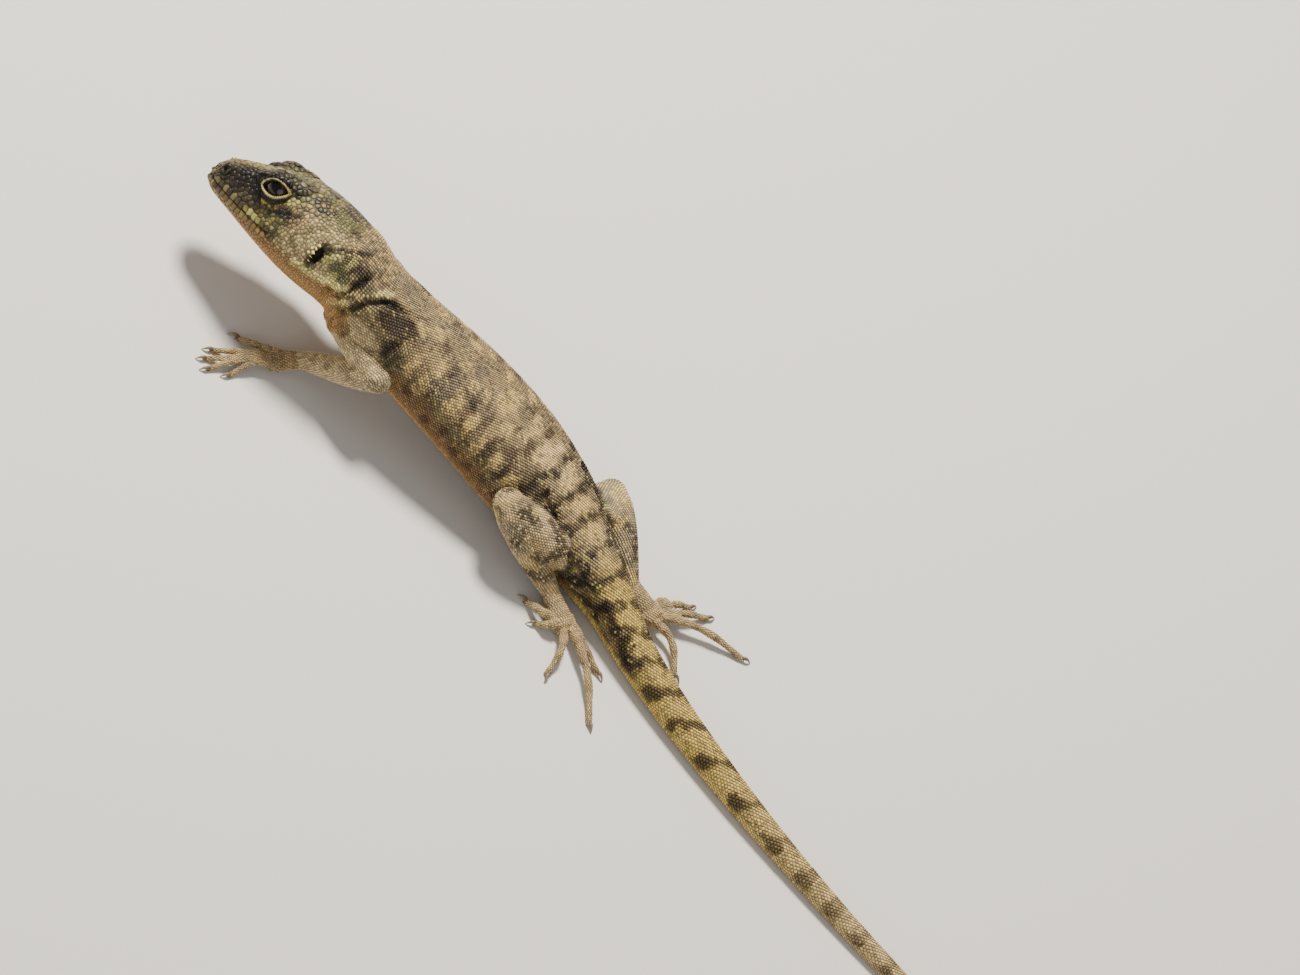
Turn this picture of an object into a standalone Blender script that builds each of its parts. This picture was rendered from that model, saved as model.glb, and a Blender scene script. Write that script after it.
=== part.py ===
"""Amazon lava lizard, a life-size still model.

The animal rests on the floor plane z = 0 with its head towards -X and its left
side towards -Y. Its front is raised on the forelimbs, its hips and tail lie low.
Every piece is a closed solid, and neighbours meet face to face across GAP.
All sizes are in metres, all angles in degrees.
"""

import math

import bmesh
import bpy
import numpy as np
from mathutils import Vector

# General sizes
GAP = 0.0003
FLOOR_DIP = 0.00025
TRUNK_SIDES = 28
TRUNK_RING_STEP = 0.0033
TAIL_SIDES = 14
LIMB_SIDES = 12
TRUNK_POWER = 2.25
NECK_RINGS = 4
HEAD_RINGS = 20
MOUTH_STEPS = 8
LIMB_RINGS = 6
ROUND_END_ANGLES = (80, 52, 26)
AXIS_STEP = 0.0005
TUBE_GUIDE = (0.3, 0.0, 1.0)
MERGE_DISTANCE = 1e-7

# Trunk from the shoulders to the vent:
# x, y and z of the middle, half width, half height, lean of the back to the right
TRUNK_STATIONS = (
    (-0.0600, -0.0031, 0.0146, 0.0089, 0.0074, 16.0),
    (-0.0530, -0.0017, 0.0133, 0.0096, 0.0073, 12.0),
    (-0.0450, 0.0000, 0.0120, 0.0107, 0.0072, 9.0),
    (-0.0350, 0.0016, 0.0105, 0.0112, 0.0072, 6.0),
    (-0.0250, 0.0023, 0.0090, 0.0109, 0.0070, 3.0),
    (-0.0160, 0.0020, 0.0076, 0.0094, 0.0065, 0.0),
    (-0.0070, 0.0004, 0.0061, 0.0072, 0.0056, -3.0),
    (0.0000, -0.0006, 0.0050, 0.0052, 0.0049, -6.0),
)

# Tail from the vent to the tip: x, y of the middle, half width, half height
TAIL_STATIONS = (
    (0.0000, -0.0006, 0.0052, 0.0049),
    (0.0050, -0.0015, 0.0043, 0.0042),
    (0.0100, -0.0033, 0.0038, 0.0036),
    (0.0200, -0.0059, 0.0033, 0.0030),
    (0.0380, -0.0090, 0.0027, 0.0025),
    (0.0590, -0.0109, 0.0021, 0.0020),
    (0.0820, -0.0115, 0.0017, 0.0016),
    (0.1120, -0.0095, 0.0011, 0.0011),
    (0.1400, -0.0060, 0.0005, 0.0006),
)
TAIL_LEAN = -6.0
# Start, end and number of sections of each length of the tail
TAIL_LENGTHS = {
    "tail_base": (0.0000, 0.0300, 10),
    "tail_middle": (0.0300, 0.0680, 9),
    "tail_end": (0.0680, 0.1060, 8),
    "tail_tip": (0.1060, 0.1400, 7),
}

# Head, in its own frame: x forward of the ears, y to the left, z up
HEAD_ORIGIN = (-0.0718, -0.0041, 0.0166)
HEAD_PITCH_DOWN = 6.0
HEAD_TURN_LEFT = 5.5
HEAD_LEAN = 28.0
HEAD_SIDES = 32
HEAD_BACK = -0.0040
HEAD_POWER = 2.5
HEAD_SIDE_LIMIT = 0.98
# x, half width, top, underside, level of the widest place
HEAD_STATIONS = (
    (-0.0040, 0.0084, 0.0077, -0.0073, 0.0002),
    (0.0000, 0.0089, 0.0084, -0.0072, -0.0006),
    (0.0050, 0.0088, 0.0087, -0.0067, -0.0014),
    (0.0095, 0.0077, 0.0082, -0.0060, -0.0014),
    (0.0135, 0.0063, 0.0068, -0.0053, -0.0012),
    (0.0170, 0.0051, 0.0051, -0.0046, -0.0010),
    (0.0200, 0.0040, 0.0037, -0.0040, -0.0010),
    (0.0221, 0.0029, 0.0023, -0.0034, -0.0010),
    (0.0233, 0.0012, 0.0006, -0.0027, -0.0012),
)

# Mouth line: x and height in the head's frame, from the snout to the corner
MOUTH_STATIONS = (
    (0.0225, -0.0013),
    (0.0190, -0.0016),
    (0.0145, -0.0018),
    (0.0094, -0.0018),
)
MOUTH_GROOVE = 0.00028
MOUTH_TIP_SHARE = 0.8
UPPER_LIP_RISE = 0.00075
UPPER_LIP_RADIUS = 0.00062
LOWER_LIP_DROP = 0.0007
LOWER_LIP_RADIUS = 0.00055
LIP_INSET = 0.0004
LIP_THINNING = 0.45
LIP_SIDES = 6
GROOVE_SIDES = 5

# Eyes
EYE_CENTRE = (0.0122, 0.0038, 0.0046)
EYE_RADIUS = 0.0027
EYE_AIM = (0.22, 0.95, 0.12)
LID_RADIUS = 0.0035
LID_OPENING_LENGTH = 0.0024
LID_OPENING_HEIGHT = 0.00157
LID_TILT = 3.0
# How far out each section of the opening lies, in lid radii, and its relative size
OPENING_SECTIONS = ((0.0, 0.6), (0.8, 0.85), (1.0, 1.0), (1.6, 1.5))
OPENING_SIDES = 20
LID_MESH = (20, 12)
EYE_MESH = (16, 10)

# Brow domes over the eyes, in the head's frame
BROW_CENTRE = (0.0112, 0.0034, 0.0051)
BROW_HALF_SIZE = (0.0060, 0.0028, 0.0030)
BROW_SLOPE = 16.0
BROW_MESH = (20, 12)

# Ears and nostrils
EAR_PLACE = (0.0002, 0.0091, 0.0008)
EAR_HALF_SIZE = (0.0011, 0.0015, 0.0017)
NOSTRIL_PLACE = (0.0218, 0.0027, 0.0013)
NOSTRIL_RADIUS = 0.0005
EAR_MESH = (12, 8)
NOSTRIL_MESH = (8, 6)

# Limb sizes: joint radii, muscle swelling, thickness beside width
ARM_RADII = (0.0032, 0.0026, 0.0017)
ARM_SWELL = (0.0003, 0.0005)
LEG_RADII = (0.0038, 0.0030, 0.0018)
LEG_SWELL = (0.0008, 0.0008)
LIMB_FLATTEN = 0.88
SWELL_PLACE = 0.7

# Palms and soles: half width at wrist, at the knuckles, half thickness
HAND_WIDTHS = (0.0016, 0.0022)
HAND_THICKNESS = 0.0010
FOOT_WIDTHS = (0.0017, 0.0024)
FOOT_THICKNESS = 0.0012
PALM_SIDES = 10
PALM_STEPS = 5
PALM_FLATTEN = 0.9
PALM_START_SHARE = 0.55
PALM_FRONT_SHARE = 0.6

# Digits
FINGER_RADIUS = 0.00078
TOE_RADIUS = 0.00088
DIGIT_TAPER = 0.34
KNUCKLE_SWELL = 0.10
DIGIT_ARCH = 0.0011
DIGIT_SIDES = 7
DIGIT_RINGS = 8
KNUCKLE_WAVES = 3
DIGIT_SPREAD_INSET = 0.8
DIGIT_ROOT_DEPTH = (0.6, 0.5)
CLAW_LENGTH = 0.0019
CLAW_RADIUS = 0.00042
CLAW_TIP_RADIUS = 0.00012
CLAW_SIDES = 6
CLAW_ARCH = 0.28
CLAW_SHARES = (0.0, 0.35, 0.65, 0.85, 1.0)

# Joints of each limb, then for each digit, first to fifth, the place of its tip
# on the floor and how far it bows to one side
LIMBS = {
    "left_arm": {
        "names": ("upper_arm_left", "forearm_left", "hand_left"),
        "joints": ((-0.0620, -0.0080, 0.0125), (-0.0503, -0.0120, 0.0120),
                   (-0.0612, -0.0124, 0.0030)),
        "palm_end": (-0.0650, -0.0164, 0.0014),
        "tips": ((-0.0734, -0.0182, 0.0010), (-0.0743, -0.0252, 0.0006),
                 (-0.0738, -0.0278, 0.0004), (-0.0720, -0.0290, -0.0008),
                 (-0.0688, -0.0266, -0.0012)),
    },
    "right_arm": {
        "names": ("upper_arm_right", "forearm_right", "hand_right"),
        "joints": ((-0.0605, 0.0030, 0.0120), (-0.0512, 0.0110, 0.0085),
                   (-0.0618, 0.0112, 0.0030)),
        "palm_end": (-0.0666, 0.0130, 0.0014),
        "tips": ((-0.0746, 0.0104, 0.0006), (-0.0784, 0.0150, 0.0004),
                 (-0.0788, 0.0184, 0.0), (-0.0766, 0.0210, -0.0006),
                 (-0.0704, 0.0214, -0.0006)),
    },
    "left_leg": {
        "names": ("thigh_left", "shank_left", "foot_left"),
        "joints": ((-0.0080, -0.0040, 0.0070), (-0.0196, -0.0088, 0.0106),
                   (-0.0048, -0.0083, 0.0030)),
        "palm_end": (0.0014, -0.0104, 0.0015),
        "tips": ((-0.0078, -0.0118, 0.0008), (-0.0034, -0.0152, 0.0010),
                 (0.0060, -0.0218, 0.0008), (0.0176, -0.0222, 0.0012),
                 (0.0128, -0.0118, -0.0008)),
    },
    "right_leg": {
        "names": ("thigh_right", "shank_right", "foot_right"),
        "joints": ((-0.0095, 0.0040, 0.0070), (-0.0088, 0.0140, 0.0072),
                   (0.0038, 0.0069, 0.0029)),
        "palm_end": (0.0110, 0.0063, 0.0015),
        "tips": ((0.0126, 0.0138, 0.0006), (0.0150, 0.0172, 0.0004),
                 (0.0186, 0.0184, 0.0), (0.0283, 0.0171, 0.0014),
                 (0.0222, 0.0011, 0.0022)),
    },
}

# Plain colours of the solids: red, green, blue, roughness
COLOURS = {
    "back": (0.20, 0.17, 0.13, 0.7),
    "head": (0.17, 0.15, 0.11, 0.65),
    "tail": (0.36, 0.30, 0.19, 0.7),
    "limb": (0.22, 0.19, 0.15, 0.7),
    "digit": (0.30, 0.25, 0.20, 0.6),
    "eye": (0.02, 0.012, 0.01, 0.15),
}

UP = np.array((0.0, 0.0, 1.0))


def unit(vector):
    vector = np.asarray(vector, float)
    return vector / np.linalg.norm(vector)


def smooth_row(rows, x):
    """Values of a smooth curve through the rows, whose first column is x."""
    table = np.array(rows, float)
    knots = table[:, 0]
    slopes = np.gradient(table[:, 1:], knots, axis=0)
    place = int(np.clip(np.searchsorted(knots, x) - 1, 0, len(knots) - 2))
    width = knots[place + 1] - knots[place]
    t = (x - knots[place]) / width
    start = table[place, 1:] * (1 + 2 * t) * (1 - t) ** 2
    start_slope = slopes[place] * width * t * (1 - t) ** 2
    end = table[place + 1, 1:] * t * t * (3 - 2 * t)
    end_slope = slopes[place + 1] * width * t * t * (t - 1)
    return start + start_slope + end + end_slope


def rounded_ring(centre, right, up, half_width, rise, drop, power, sides):
    """One rounded section, counted from the right side over the top."""
    points = []
    for index in range(sides):
        angle = 2 * math.pi * index / sides
        across = math.copysign(abs(math.cos(angle)) ** (2 / power), math.cos(angle))
        high = math.copysign(abs(math.sin(angle)) ** (2 / power), math.sin(angle))
        reach = rise if high > 0 else drop
        points.append(centre + right * (half_width * across) + up * (reach * high))
    return np.array(points)


def axis_middle(x):
    """Middle, half width, half height and lean of the trunk or tail at x."""
    if x <= TRUNK_STATIONS[-1][0]:
        y, z, half_width, half_height, lean = smooth_row(TRUNK_STATIONS, x)
        return np.array((x, y, z)), half_width, half_height, lean
    y, half_width, half_height = smooth_row(TAIL_STATIONS, x)
    return np.array((x, y, half_height - FLOOR_DIP)), half_width, half_height, TAIL_LEAN


def axis_frame(x):
    """Middle, right and up directions, half width and half height at x."""
    centre, half_width, half_height, lean = axis_middle(x)
    along = unit(axis_middle(x + AXIS_STEP)[0] - axis_middle(x - AXIS_STEP)[0])
    level = unit(np.cross(UP, along))
    upright = np.cross(along, level)
    angle = math.radians(lean)
    up = upright * math.cos(angle) + level * math.sin(angle)
    right = level * math.cos(angle) - upright * math.sin(angle)
    return centre, right, up, half_width, half_height


def axis_ring(x, sides, extra=0.0):
    """Section of the trunk or tail at x, grown by the extra depth."""
    centre, right, up, half_width, half_height = axis_frame(x)
    wide = half_width + extra
    high = half_height + extra
    return rounded_ring(centre, right, up, wide, high, high, TRUNK_POWER, sides)


def head_axes():
    """Origin, forward, right and up directions of the head's frame."""
    pitch = math.radians(HEAD_PITCH_DOWN)
    turn = math.radians(HEAD_TURN_LEFT)
    lean = math.radians(HEAD_LEAN)
    forward = np.array((-math.cos(pitch) * math.cos(turn),
                        -math.cos(pitch) * math.sin(turn), -math.sin(pitch)))
    level = unit(np.cross(forward, UP))
    upright = np.cross(level, forward)
    up = upright * math.cos(lean) + level * math.sin(lean)
    right = level * math.cos(lean) - upright * math.sin(lean)
    return np.array(HEAD_ORIGIN), forward, right, up


def head_point(place):
    """A place in the head's frame (forward, left, up) moved to the model's frame."""
    origin, forward, right, up = head_axes()
    return origin + forward * place[0] - right * place[1] + up * place[2]


def head_ring(x):
    """Section of the head at x in its own frame, given in the model's frame."""
    origin, forward, right, up = head_axes()
    half_width, top, under, level = smooth_row(HEAD_STATIONS, x)
    centre = origin + forward * x + up * level
    return rounded_ring(centre, right, up, half_width, top - level, level - under,
                        HEAD_POWER, HEAD_SIDES)


def head_side(x, z):
    """How far the head's side stands from its middle plane at x and height z."""
    half_width, top, under, level = smooth_row(HEAD_STATIONS, x)
    reach = top - level if z > level else level - under
    share = min(abs(z - level) / reach, HEAD_SIDE_LIMIT)
    return half_width * (1 - share ** HEAD_POWER) ** (1 / HEAD_POWER)


def finished(shape, mesh):
    """Write a closed shape to its mesh with all faces pointing out."""
    bmesh.ops.recalc_face_normals(shape, faces=shape.faces)
    if shape.calc_volume(signed=True) < 0:
        bmesh.ops.reverse_faces(shape, faces=shape.faces)
    shape.to_mesh(mesh)
    shape.free()
    return mesh


def loft(name, rings):
    """Closed mesh through equal rings, with flat ends."""
    shape = bmesh.new()
    rows = [[shape.verts.new(point) for point in ring] for ring in rings]
    sides = len(rings[0])
    for near, far in zip(rows, rows[1:]):
        for index in range(sides):
            after = (index + 1) % sides
            shape.faces.new((near[index], near[after], far[after], far[index]))
    shape.faces.new(rows[0])
    shape.faces.new(rows[-1])
    return finished(shape, bpy.data.meshes.new(name))


def tube(name, points, radii, sides, flat_axis=None, flatten=1.0):
    """Closed tube through the points, with a radius at each of them."""
    points = [np.asarray(point, float) for point in points]
    rings = []
    side = None
    for index, point in enumerate(points):
        before = points[max(index - 1, 0)]
        after = points[min(index + 1, len(points) - 1)]
        along = unit(after - before)
        if flat_axis is not None:
            side = unit(np.cross(flat_axis, along))
        elif side is None:
            side = unit(np.cross(TUBE_GUIDE, along))
        else:
            side = unit(side - along * np.dot(side, along))
        thick = np.cross(along, side)
        ring = []
        for step in range(sides):
            angle = 2 * math.pi * step / sides
            ring.append(point + side * (radii[index] * math.cos(angle))
                        + thick * (radii[index] * flatten * math.sin(angle)))
        rings.append(ring)
    return loft(name, rings)


def capsule_path(start, end, start_radius, end_radius, swell, middle_rings):
    """Points and radii of a limb length with rounded ends."""
    start = np.asarray(start, float)
    end = np.asarray(end, float)
    along = unit(end - start)
    points = []
    radii = []
    for angle in ROUND_END_ANGLES:
        points.append(start - along * (start_radius * math.sin(math.radians(angle))))
        radii.append(start_radius * math.cos(math.radians(angle)))
    for index in range(middle_rings + 1):
        share = index / middle_rings
        points.append(start + (end - start) * share)
        radius = start_radius + (end_radius - start_radius) * share
        radii.append(radius + swell * math.sin(math.pi * share ** SWELL_PLACE))
    for angle in reversed(ROUND_END_ANGLES):
        points.append(end + along * (end_radius * math.sin(math.radians(angle))))
        radii.append(end_radius * math.cos(math.radians(angle)))
    return points, radii


def limb_length(name, start, end, start_radius, end_radius, swell):
    """One length of a limb, a little flatter than it is wide."""
    points, radii = capsule_path(start, end, start_radius, end_radius, swell,
                                 LIMB_RINGS)
    return tube(name, points, radii, LIMB_SIDES, UP, LIMB_FLATTEN)


def ellipsoid(name, centre, axes, sizes, fineness):
    """Closed ellipsoid with the given unit axes and half sizes."""
    segments, rings = fineness
    shape = bmesh.new()
    bmesh.ops.create_uvsphere(shape, u_segments=segments, v_segments=rings, radius=1)
    frame = [unit(axis) * size for axis, size in zip(axes, sizes)]
    for vertex in shape.verts:
        moved = sum(part * share for part, share in zip(frame, vertex.co))
        vertex.co = Vector(np.asarray(centre, float) + moved)
    return finished(shape, bpy.data.meshes.new(name))


def trim(mesh, place, outward):
    """Cut the mesh flat at a plane and drop the side that outward points to."""
    shape = bmesh.new()
    shape.from_mesh(mesh)
    everything = shape.verts[:] + shape.edges[:] + shape.faces[:]
    bmesh.ops.bisect_plane(shape, geom=everything, dist=MERGE_DISTANCE,
                           plane_co=Vector(place), plane_no=Vector(outward),
                           clear_outer=True)
    open_edges = [edge for edge in shape.edges if edge.is_boundary]
    if open_edges:
        bmesh.ops.edgeloop_fill(shape, edges=open_edges)
    return finished(shape, mesh)


def keep_largest(mesh):
    """Keep only the largest closed surface of a mesh."""
    shape = bmesh.new()
    shape.from_mesh(mesh)
    left = set(shape.verts)
    groups = []
    while left:
        group = set()
        front = [left.pop()]
        while front:
            vertex = front.pop()
            group.add(vertex)
            for edge in vertex.link_edges:
                other = edge.other_vert(vertex)
                if other in left:
                    left.remove(other)
                    front.append(other)
        groups.append(group)
    groups.sort(key=len)
    spare = [vertex for group in groups[:-1] for vertex in group]
    bmesh.ops.delete(shape, geom=spare, context="VERTS")
    shape.to_mesh(mesh)
    shape.free()
    return mesh


def boolean(base, others, operation):
    """Union or difference of a mesh with many others, in one step."""
    group = bpy.data.collections.new("operands")
    helpers = [bpy.data.objects.new("helper", mesh) for mesh in others]
    for helper in helpers:
        group.objects.link(helper)
    body = bpy.data.objects.new("body", base)
    bpy.context.scene.collection.objects.link(body)
    modifier = body.modifiers.new("joined", "BOOLEAN")
    modifier.operand_type = "COLLECTION"
    modifier.collection = group
    modifier.operation = operation
    modifier.solver = "EXACT"
    bpy.context.view_layer.update()
    depsgraph = bpy.context.evaluated_depsgraph_get()
    result = bpy.data.meshes.new_from_object(body.evaluated_get(depsgraph))
    for thing in helpers + [body]:
        bpy.data.objects.remove(thing)
    bpy.data.collections.remove(group)
    return keep_largest(result)


def material(kind):
    """Principled material of one part of the animal."""
    red, green, blue, roughness = COLOURS[kind]
    look = bpy.data.materials.new(kind)
    look.use_nodes = True
    shader = look.node_tree.nodes["Principled BSDF"]
    shader.inputs["Base Color"].default_value = (red, green, blue, 1)
    shader.inputs["Roughness"].default_value = roughness
    shader.inputs["Metallic"].default_value = 0
    return look


def place(name, mesh, kind):
    """Put a finished mesh into the scene as a named piece."""
    piece = bpy.data.objects.new(name, mesh)
    mesh.materials.clear()
    mesh.materials.append(material(kind))
    mesh.shade_smooth()
    bpy.context.scene.collection.objects.link(piece)
    return piece


def trunk_shell(extra):
    """Neck, trunk and tail base as one closed mesh, grown by the extra depth."""
    rings = [grow(ring, extra) for ring in neck_rings(NECK_RINGS)]
    x = TRUNK_STATIONS[0][0] + TRUNK_RING_STEP
    while x < TAIL_LENGTHS["tail_base"][1]:
        rings.append(axis_ring(x, TRUNK_SIDES, extra))
        x += TRUNK_RING_STEP
    return loft("trunk_shell", rings)


def grow(ring, extra):
    """Move the points of a ring away from their middle by the extra depth."""
    middle = np.mean(ring, axis=0)
    return np.array([point + unit(point - middle) * extra for point in ring])


def neck_rings(steps):
    """Sections from the back of the head to the first section of the trunk."""
    origin, forward, right, up = head_axes()
    half_width, top, under, level = smooth_row(HEAD_STATIONS, HEAD_BACK)
    start = rounded_ring(origin + forward * HEAD_BACK + up * level, right, up,
                         half_width, top - level, level - under, HEAD_POWER,
                         TRUNK_SIDES)
    first_x = TRUNK_STATIONS[0][0]
    end = axis_ring(first_x, TRUNK_SIDES)
    backward = -forward
    length = np.linalg.norm(end.mean(axis=0) - start.mean(axis=0))
    leaving = unit(axis_middle(first_x + AXIS_STEP)[0] - axis_middle(first_x)[0])
    rings = []
    for index in range(steps + 1):
        t = index / steps
        rings.append(start * (1 + 2 * t) * (1 - t) ** 2
                     + backward * (length * t * (1 - t) ** 2)
                     + end * t * t * (3 - 2 * t)
                     + leaving * (length * t * t * (t - 1)))
    return rings


def make_neck():
    """Neck between the back of the head and the shoulders."""
    rings = neck_rings(NECK_RINGS)
    backward = -head_axes()[1]
    rings[0] = rings[0] + backward * GAP
    place("neck", loft("neck", rings), "back")


def make_torso():
    """Trunk from the shoulders to the vent."""
    first = TRUNK_STATIONS[0][0] + GAP
    last = TRUNK_STATIONS[-1][0]
    count = round((last - first) / TRUNK_RING_STEP)
    rings = [axis_ring(first + (last - first) * index / count, TRUNK_SIDES)
             for index in range(count + 1)]
    place("torso", loft("torso", rings), "back")


def make_tail():
    """Tail in four lengths, each flat where it lies on the floor."""
    for name, (first, last, steps) in TAIL_LENGTHS.items():
        start = first + GAP
        rings = [axis_ring(start + (last - start) * index / steps, TAIL_SIDES)
                 for index in range(steps + 1)]
        mesh = trim(loft(name, rings), (0, 0, 0), (0, 0, -1))
        place(name, mesh, "tail")


def mouth_path(level, inset):
    """Points along the mouth line from the left corner round the snout."""
    rows = sorted(MOUTH_STATIONS)
    left = []
    for x in np.linspace(rows[0][0], rows[-1][0], MOUTH_STEPS):
        z = smooth_row(rows, x)[0] + level
        left.append((x, head_side(x, z) - inset, z))
    tip_x, tip_half_width = HEAD_STATIONS[-1][:2]
    left.append((tip_x - inset, tip_half_width * MOUTH_TIP_SHARE, rows[-1][1] + level))
    right = [(x, -y, z) for x, y, z in reversed(left)]
    return [head_point(point) for point in left + right]


def lip(name, level, radius):
    """A low ridge along the mouth line, thinner towards the corners."""
    points = mouth_path(level, LIP_INSET)
    middle = (len(points) - 1) / 2
    radii = [radius * (1 - LIP_THINNING * (abs(index - middle) / middle) ** 3)
             for index in range(len(points))]
    return tube(name, points, radii, LIP_SIDES)


def brow(side):
    """Low dome over one eye, sloping down towards the snout."""
    forward, right, up = head_axes()[1:]
    slope = math.radians(BROW_SLOPE)
    ahead = forward * math.cos(slope) - up * math.sin(slope)
    x, y, z = BROW_CENTRE
    return ellipsoid("brow", head_point((x, y * side, z)),
                     (ahead, right, np.cross(right, ahead)), BROW_HALF_SIZE, BROW_MESH)


def eye_axes(side):
    """Outward, long and short axes of one eye opening."""
    forward, right, up = head_axes()[1:]
    left = -right * side
    outward = unit(forward * EYE_AIM[0] + left * EYE_AIM[1] + up * EYE_AIM[2])
    tilt = math.radians(LID_TILT)
    long_axis = forward * math.cos(tilt) + up * math.sin(tilt)
    long_axis = unit(long_axis - outward * np.dot(long_axis, outward))
    return outward, long_axis, np.cross(outward, long_axis)


def eye_opening(side):
    """Cutter for the opening between the lids, an oval that widens outwards."""
    x, y, z = EYE_CENTRE
    centre = head_point((x, y * side, z))
    outward, long_axis, short_axis = eye_axes(side)
    rings = []
    for reach, share in OPENING_SECTIONS:
        ring = []
        for step in range(OPENING_SIDES):
            angle = 2 * math.pi * step / OPENING_SIDES
            ring.append(centre + outward * (reach * LID_RADIUS)
                        + long_axis * (share * LID_OPENING_LENGTH * math.cos(angle))
                        + short_axis * (share * LID_OPENING_HEIGHT * math.sin(angle)))
        rings.append(ring)
    return loft("opening", rings)


def make_head():
    """Head with lips, mouth line, brows, lids, sockets, ears and nostrils."""
    forward, right, up = head_axes()[1:]
    axes = (forward, -right, up)
    length = HEAD_STATIONS[-1][0] - HEAD_BACK
    skull = loft("skull", [head_ring(HEAD_BACK + length * math.sin(angle))
                           for angle in np.linspace(0, math.pi / 2, HEAD_RINGS)])
    added = [lip("upper_lip", UPPER_LIP_RISE, UPPER_LIP_RADIUS),
             lip("lower_lip", -LOWER_LIP_DROP, LOWER_LIP_RADIUS)]
    groove = mouth_path(0.0, 0.0)
    removed = [tube("mouth", groove, [MOUTH_GROOVE] * len(groove), GROOVE_SIDES)]
    for side in (1, -1):
        x, y, z = EYE_CENTRE
        centre = head_point((x, y * side, z))
        added.append(brow(side))
        added.append(ellipsoid("lids", centre, axes, (LID_RADIUS,) * 3, LID_MESH))
        socket = (EYE_RADIUS + GAP,) * 3
        removed.append(ellipsoid("socket", centre, axes, socket, EYE_MESH))
        removed.append(eye_opening(side))
        ear = head_point((EAR_PLACE[0], EAR_PLACE[1] * side, EAR_PLACE[2]))
        removed.append(ellipsoid("ear", ear, axes, EAR_HALF_SIZE, EAR_MESH))
        nostril = head_point((NOSTRIL_PLACE[0], NOSTRIL_PLACE[1] * side, NOSTRIL_PLACE[2]))
        radii = (NOSTRIL_RADIUS,) * 3
        removed.append(ellipsoid("nostril", nostril, axes, radii, NOSTRIL_MESH))
    solid = boolean(boolean(skull, added, "UNION"), removed, "DIFFERENCE")
    place("head", solid, "head")


def make_eyes():
    """The two eyeballs, each in its socket behind the lids."""
    for name, side in (("eye_left", 1), ("eye_right", -1)):
        x, y, z = EYE_CENTRE
        outward, long_axis, short_axis = eye_axes(side)
        centre = head_point((x, y * side, z))
        mesh = ellipsoid(name, centre, (long_axis, short_axis, outward),
                         (EYE_RADIUS,) * 3, EYE_MESH)
        place(name, mesh, "eye")


def digit(base, tip, radius):
    """A digit arched from its base to the floor, and the claw at its end."""
    base = np.asarray(base, float)
    bow = tip[2]
    tip = np.array((tip[0], tip[1], CLAW_TIP_RADIUS))
    level = unit((tip - base) * np.array((1, 1, 0)))
    end = tip - level * CLAW_LENGTH
    end[2] = radius * (1 - DIGIT_TAPER) - FLOOR_DIP
    sideways = np.cross(UP, level)
    points = []
    radii = []
    for index in range(DIGIT_RINGS + 1):
        share = index / DIGIT_RINGS
        point = base + (end - base) * share
        point += sideways * (bow * math.sin(math.pi * share))
        point[2] += DIGIT_ARCH * math.sin(math.pi * share)
        points.append(point)
        knuckle = 1 + KNUCKLE_SWELL * math.cos(2 * math.pi * KNUCKLE_WAVES * share)
        radii.append(radius * (1 - DIGIT_TAPER * share) * knuckle)
    claw_points = [points[-2]]
    claw_radii = [CLAW_RADIUS]
    for share in CLAW_SHARES:
        point = end + (tip - end) * share
        point[2] += CLAW_LENGTH * CLAW_ARCH * math.sin(math.pi * share)
        claw_points.append(point)
        claw_radii.append(CLAW_RADIUS + (CLAW_TIP_RADIUS - CLAW_RADIUS) * share)
    return [tube("digit", points, radii, DIGIT_SIDES),
            tube("claw", claw_points, claw_radii, CLAW_SIDES)]


def paw(joint, palm_end, tips, widths, thickness, radius, end_radius):
    """Palm or sole with its five digits, in one closed mesh."""
    joint = np.asarray(joint, float)
    palm_end = np.asarray(palm_end, float)
    along = unit(palm_end - joint)
    across = unit(np.cross(UP, along))
    shares = np.linspace(0, 1, PALM_STEPS + 1)
    points = [joint - along * end_radius]
    points += [joint + (palm_end - joint) * share for share in shares]
    points.append(palm_end + along * thickness)
    radii = [PALM_START_SHARE * end_radius]
    radii += [widths[0] + (widths[1] - widths[0]) * share for share in shares]
    radii.append(PALM_FRONT_SHARE * widths[1])
    flatten = thickness / widths[0] * PALM_FLATTEN
    palm = tube("palm", points, radii, PALM_SIDES, UP, flatten)
    pieces = []
    spread = widths[1] - radius * DIGIT_SPREAD_INSET
    order = [np.dot(np.array(tip[:2]) - palm_end[:2], across[:2]) for tip in tips]
    turn = 1 if order[0] < order[-1] else -1
    shallow, deeper = DIGIT_ROOT_DEPTH
    for index, tip in enumerate(tips):
        from_middle = index - len(tips) // 2
        base = palm_end + across * (turn * spread * from_middle / 2)
        base = base - along * (radius * (shallow + deeper * abs(from_middle)))
        pieces += digit(base, tip, radius)
    return boolean(palm, pieces, "UNION")


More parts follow.
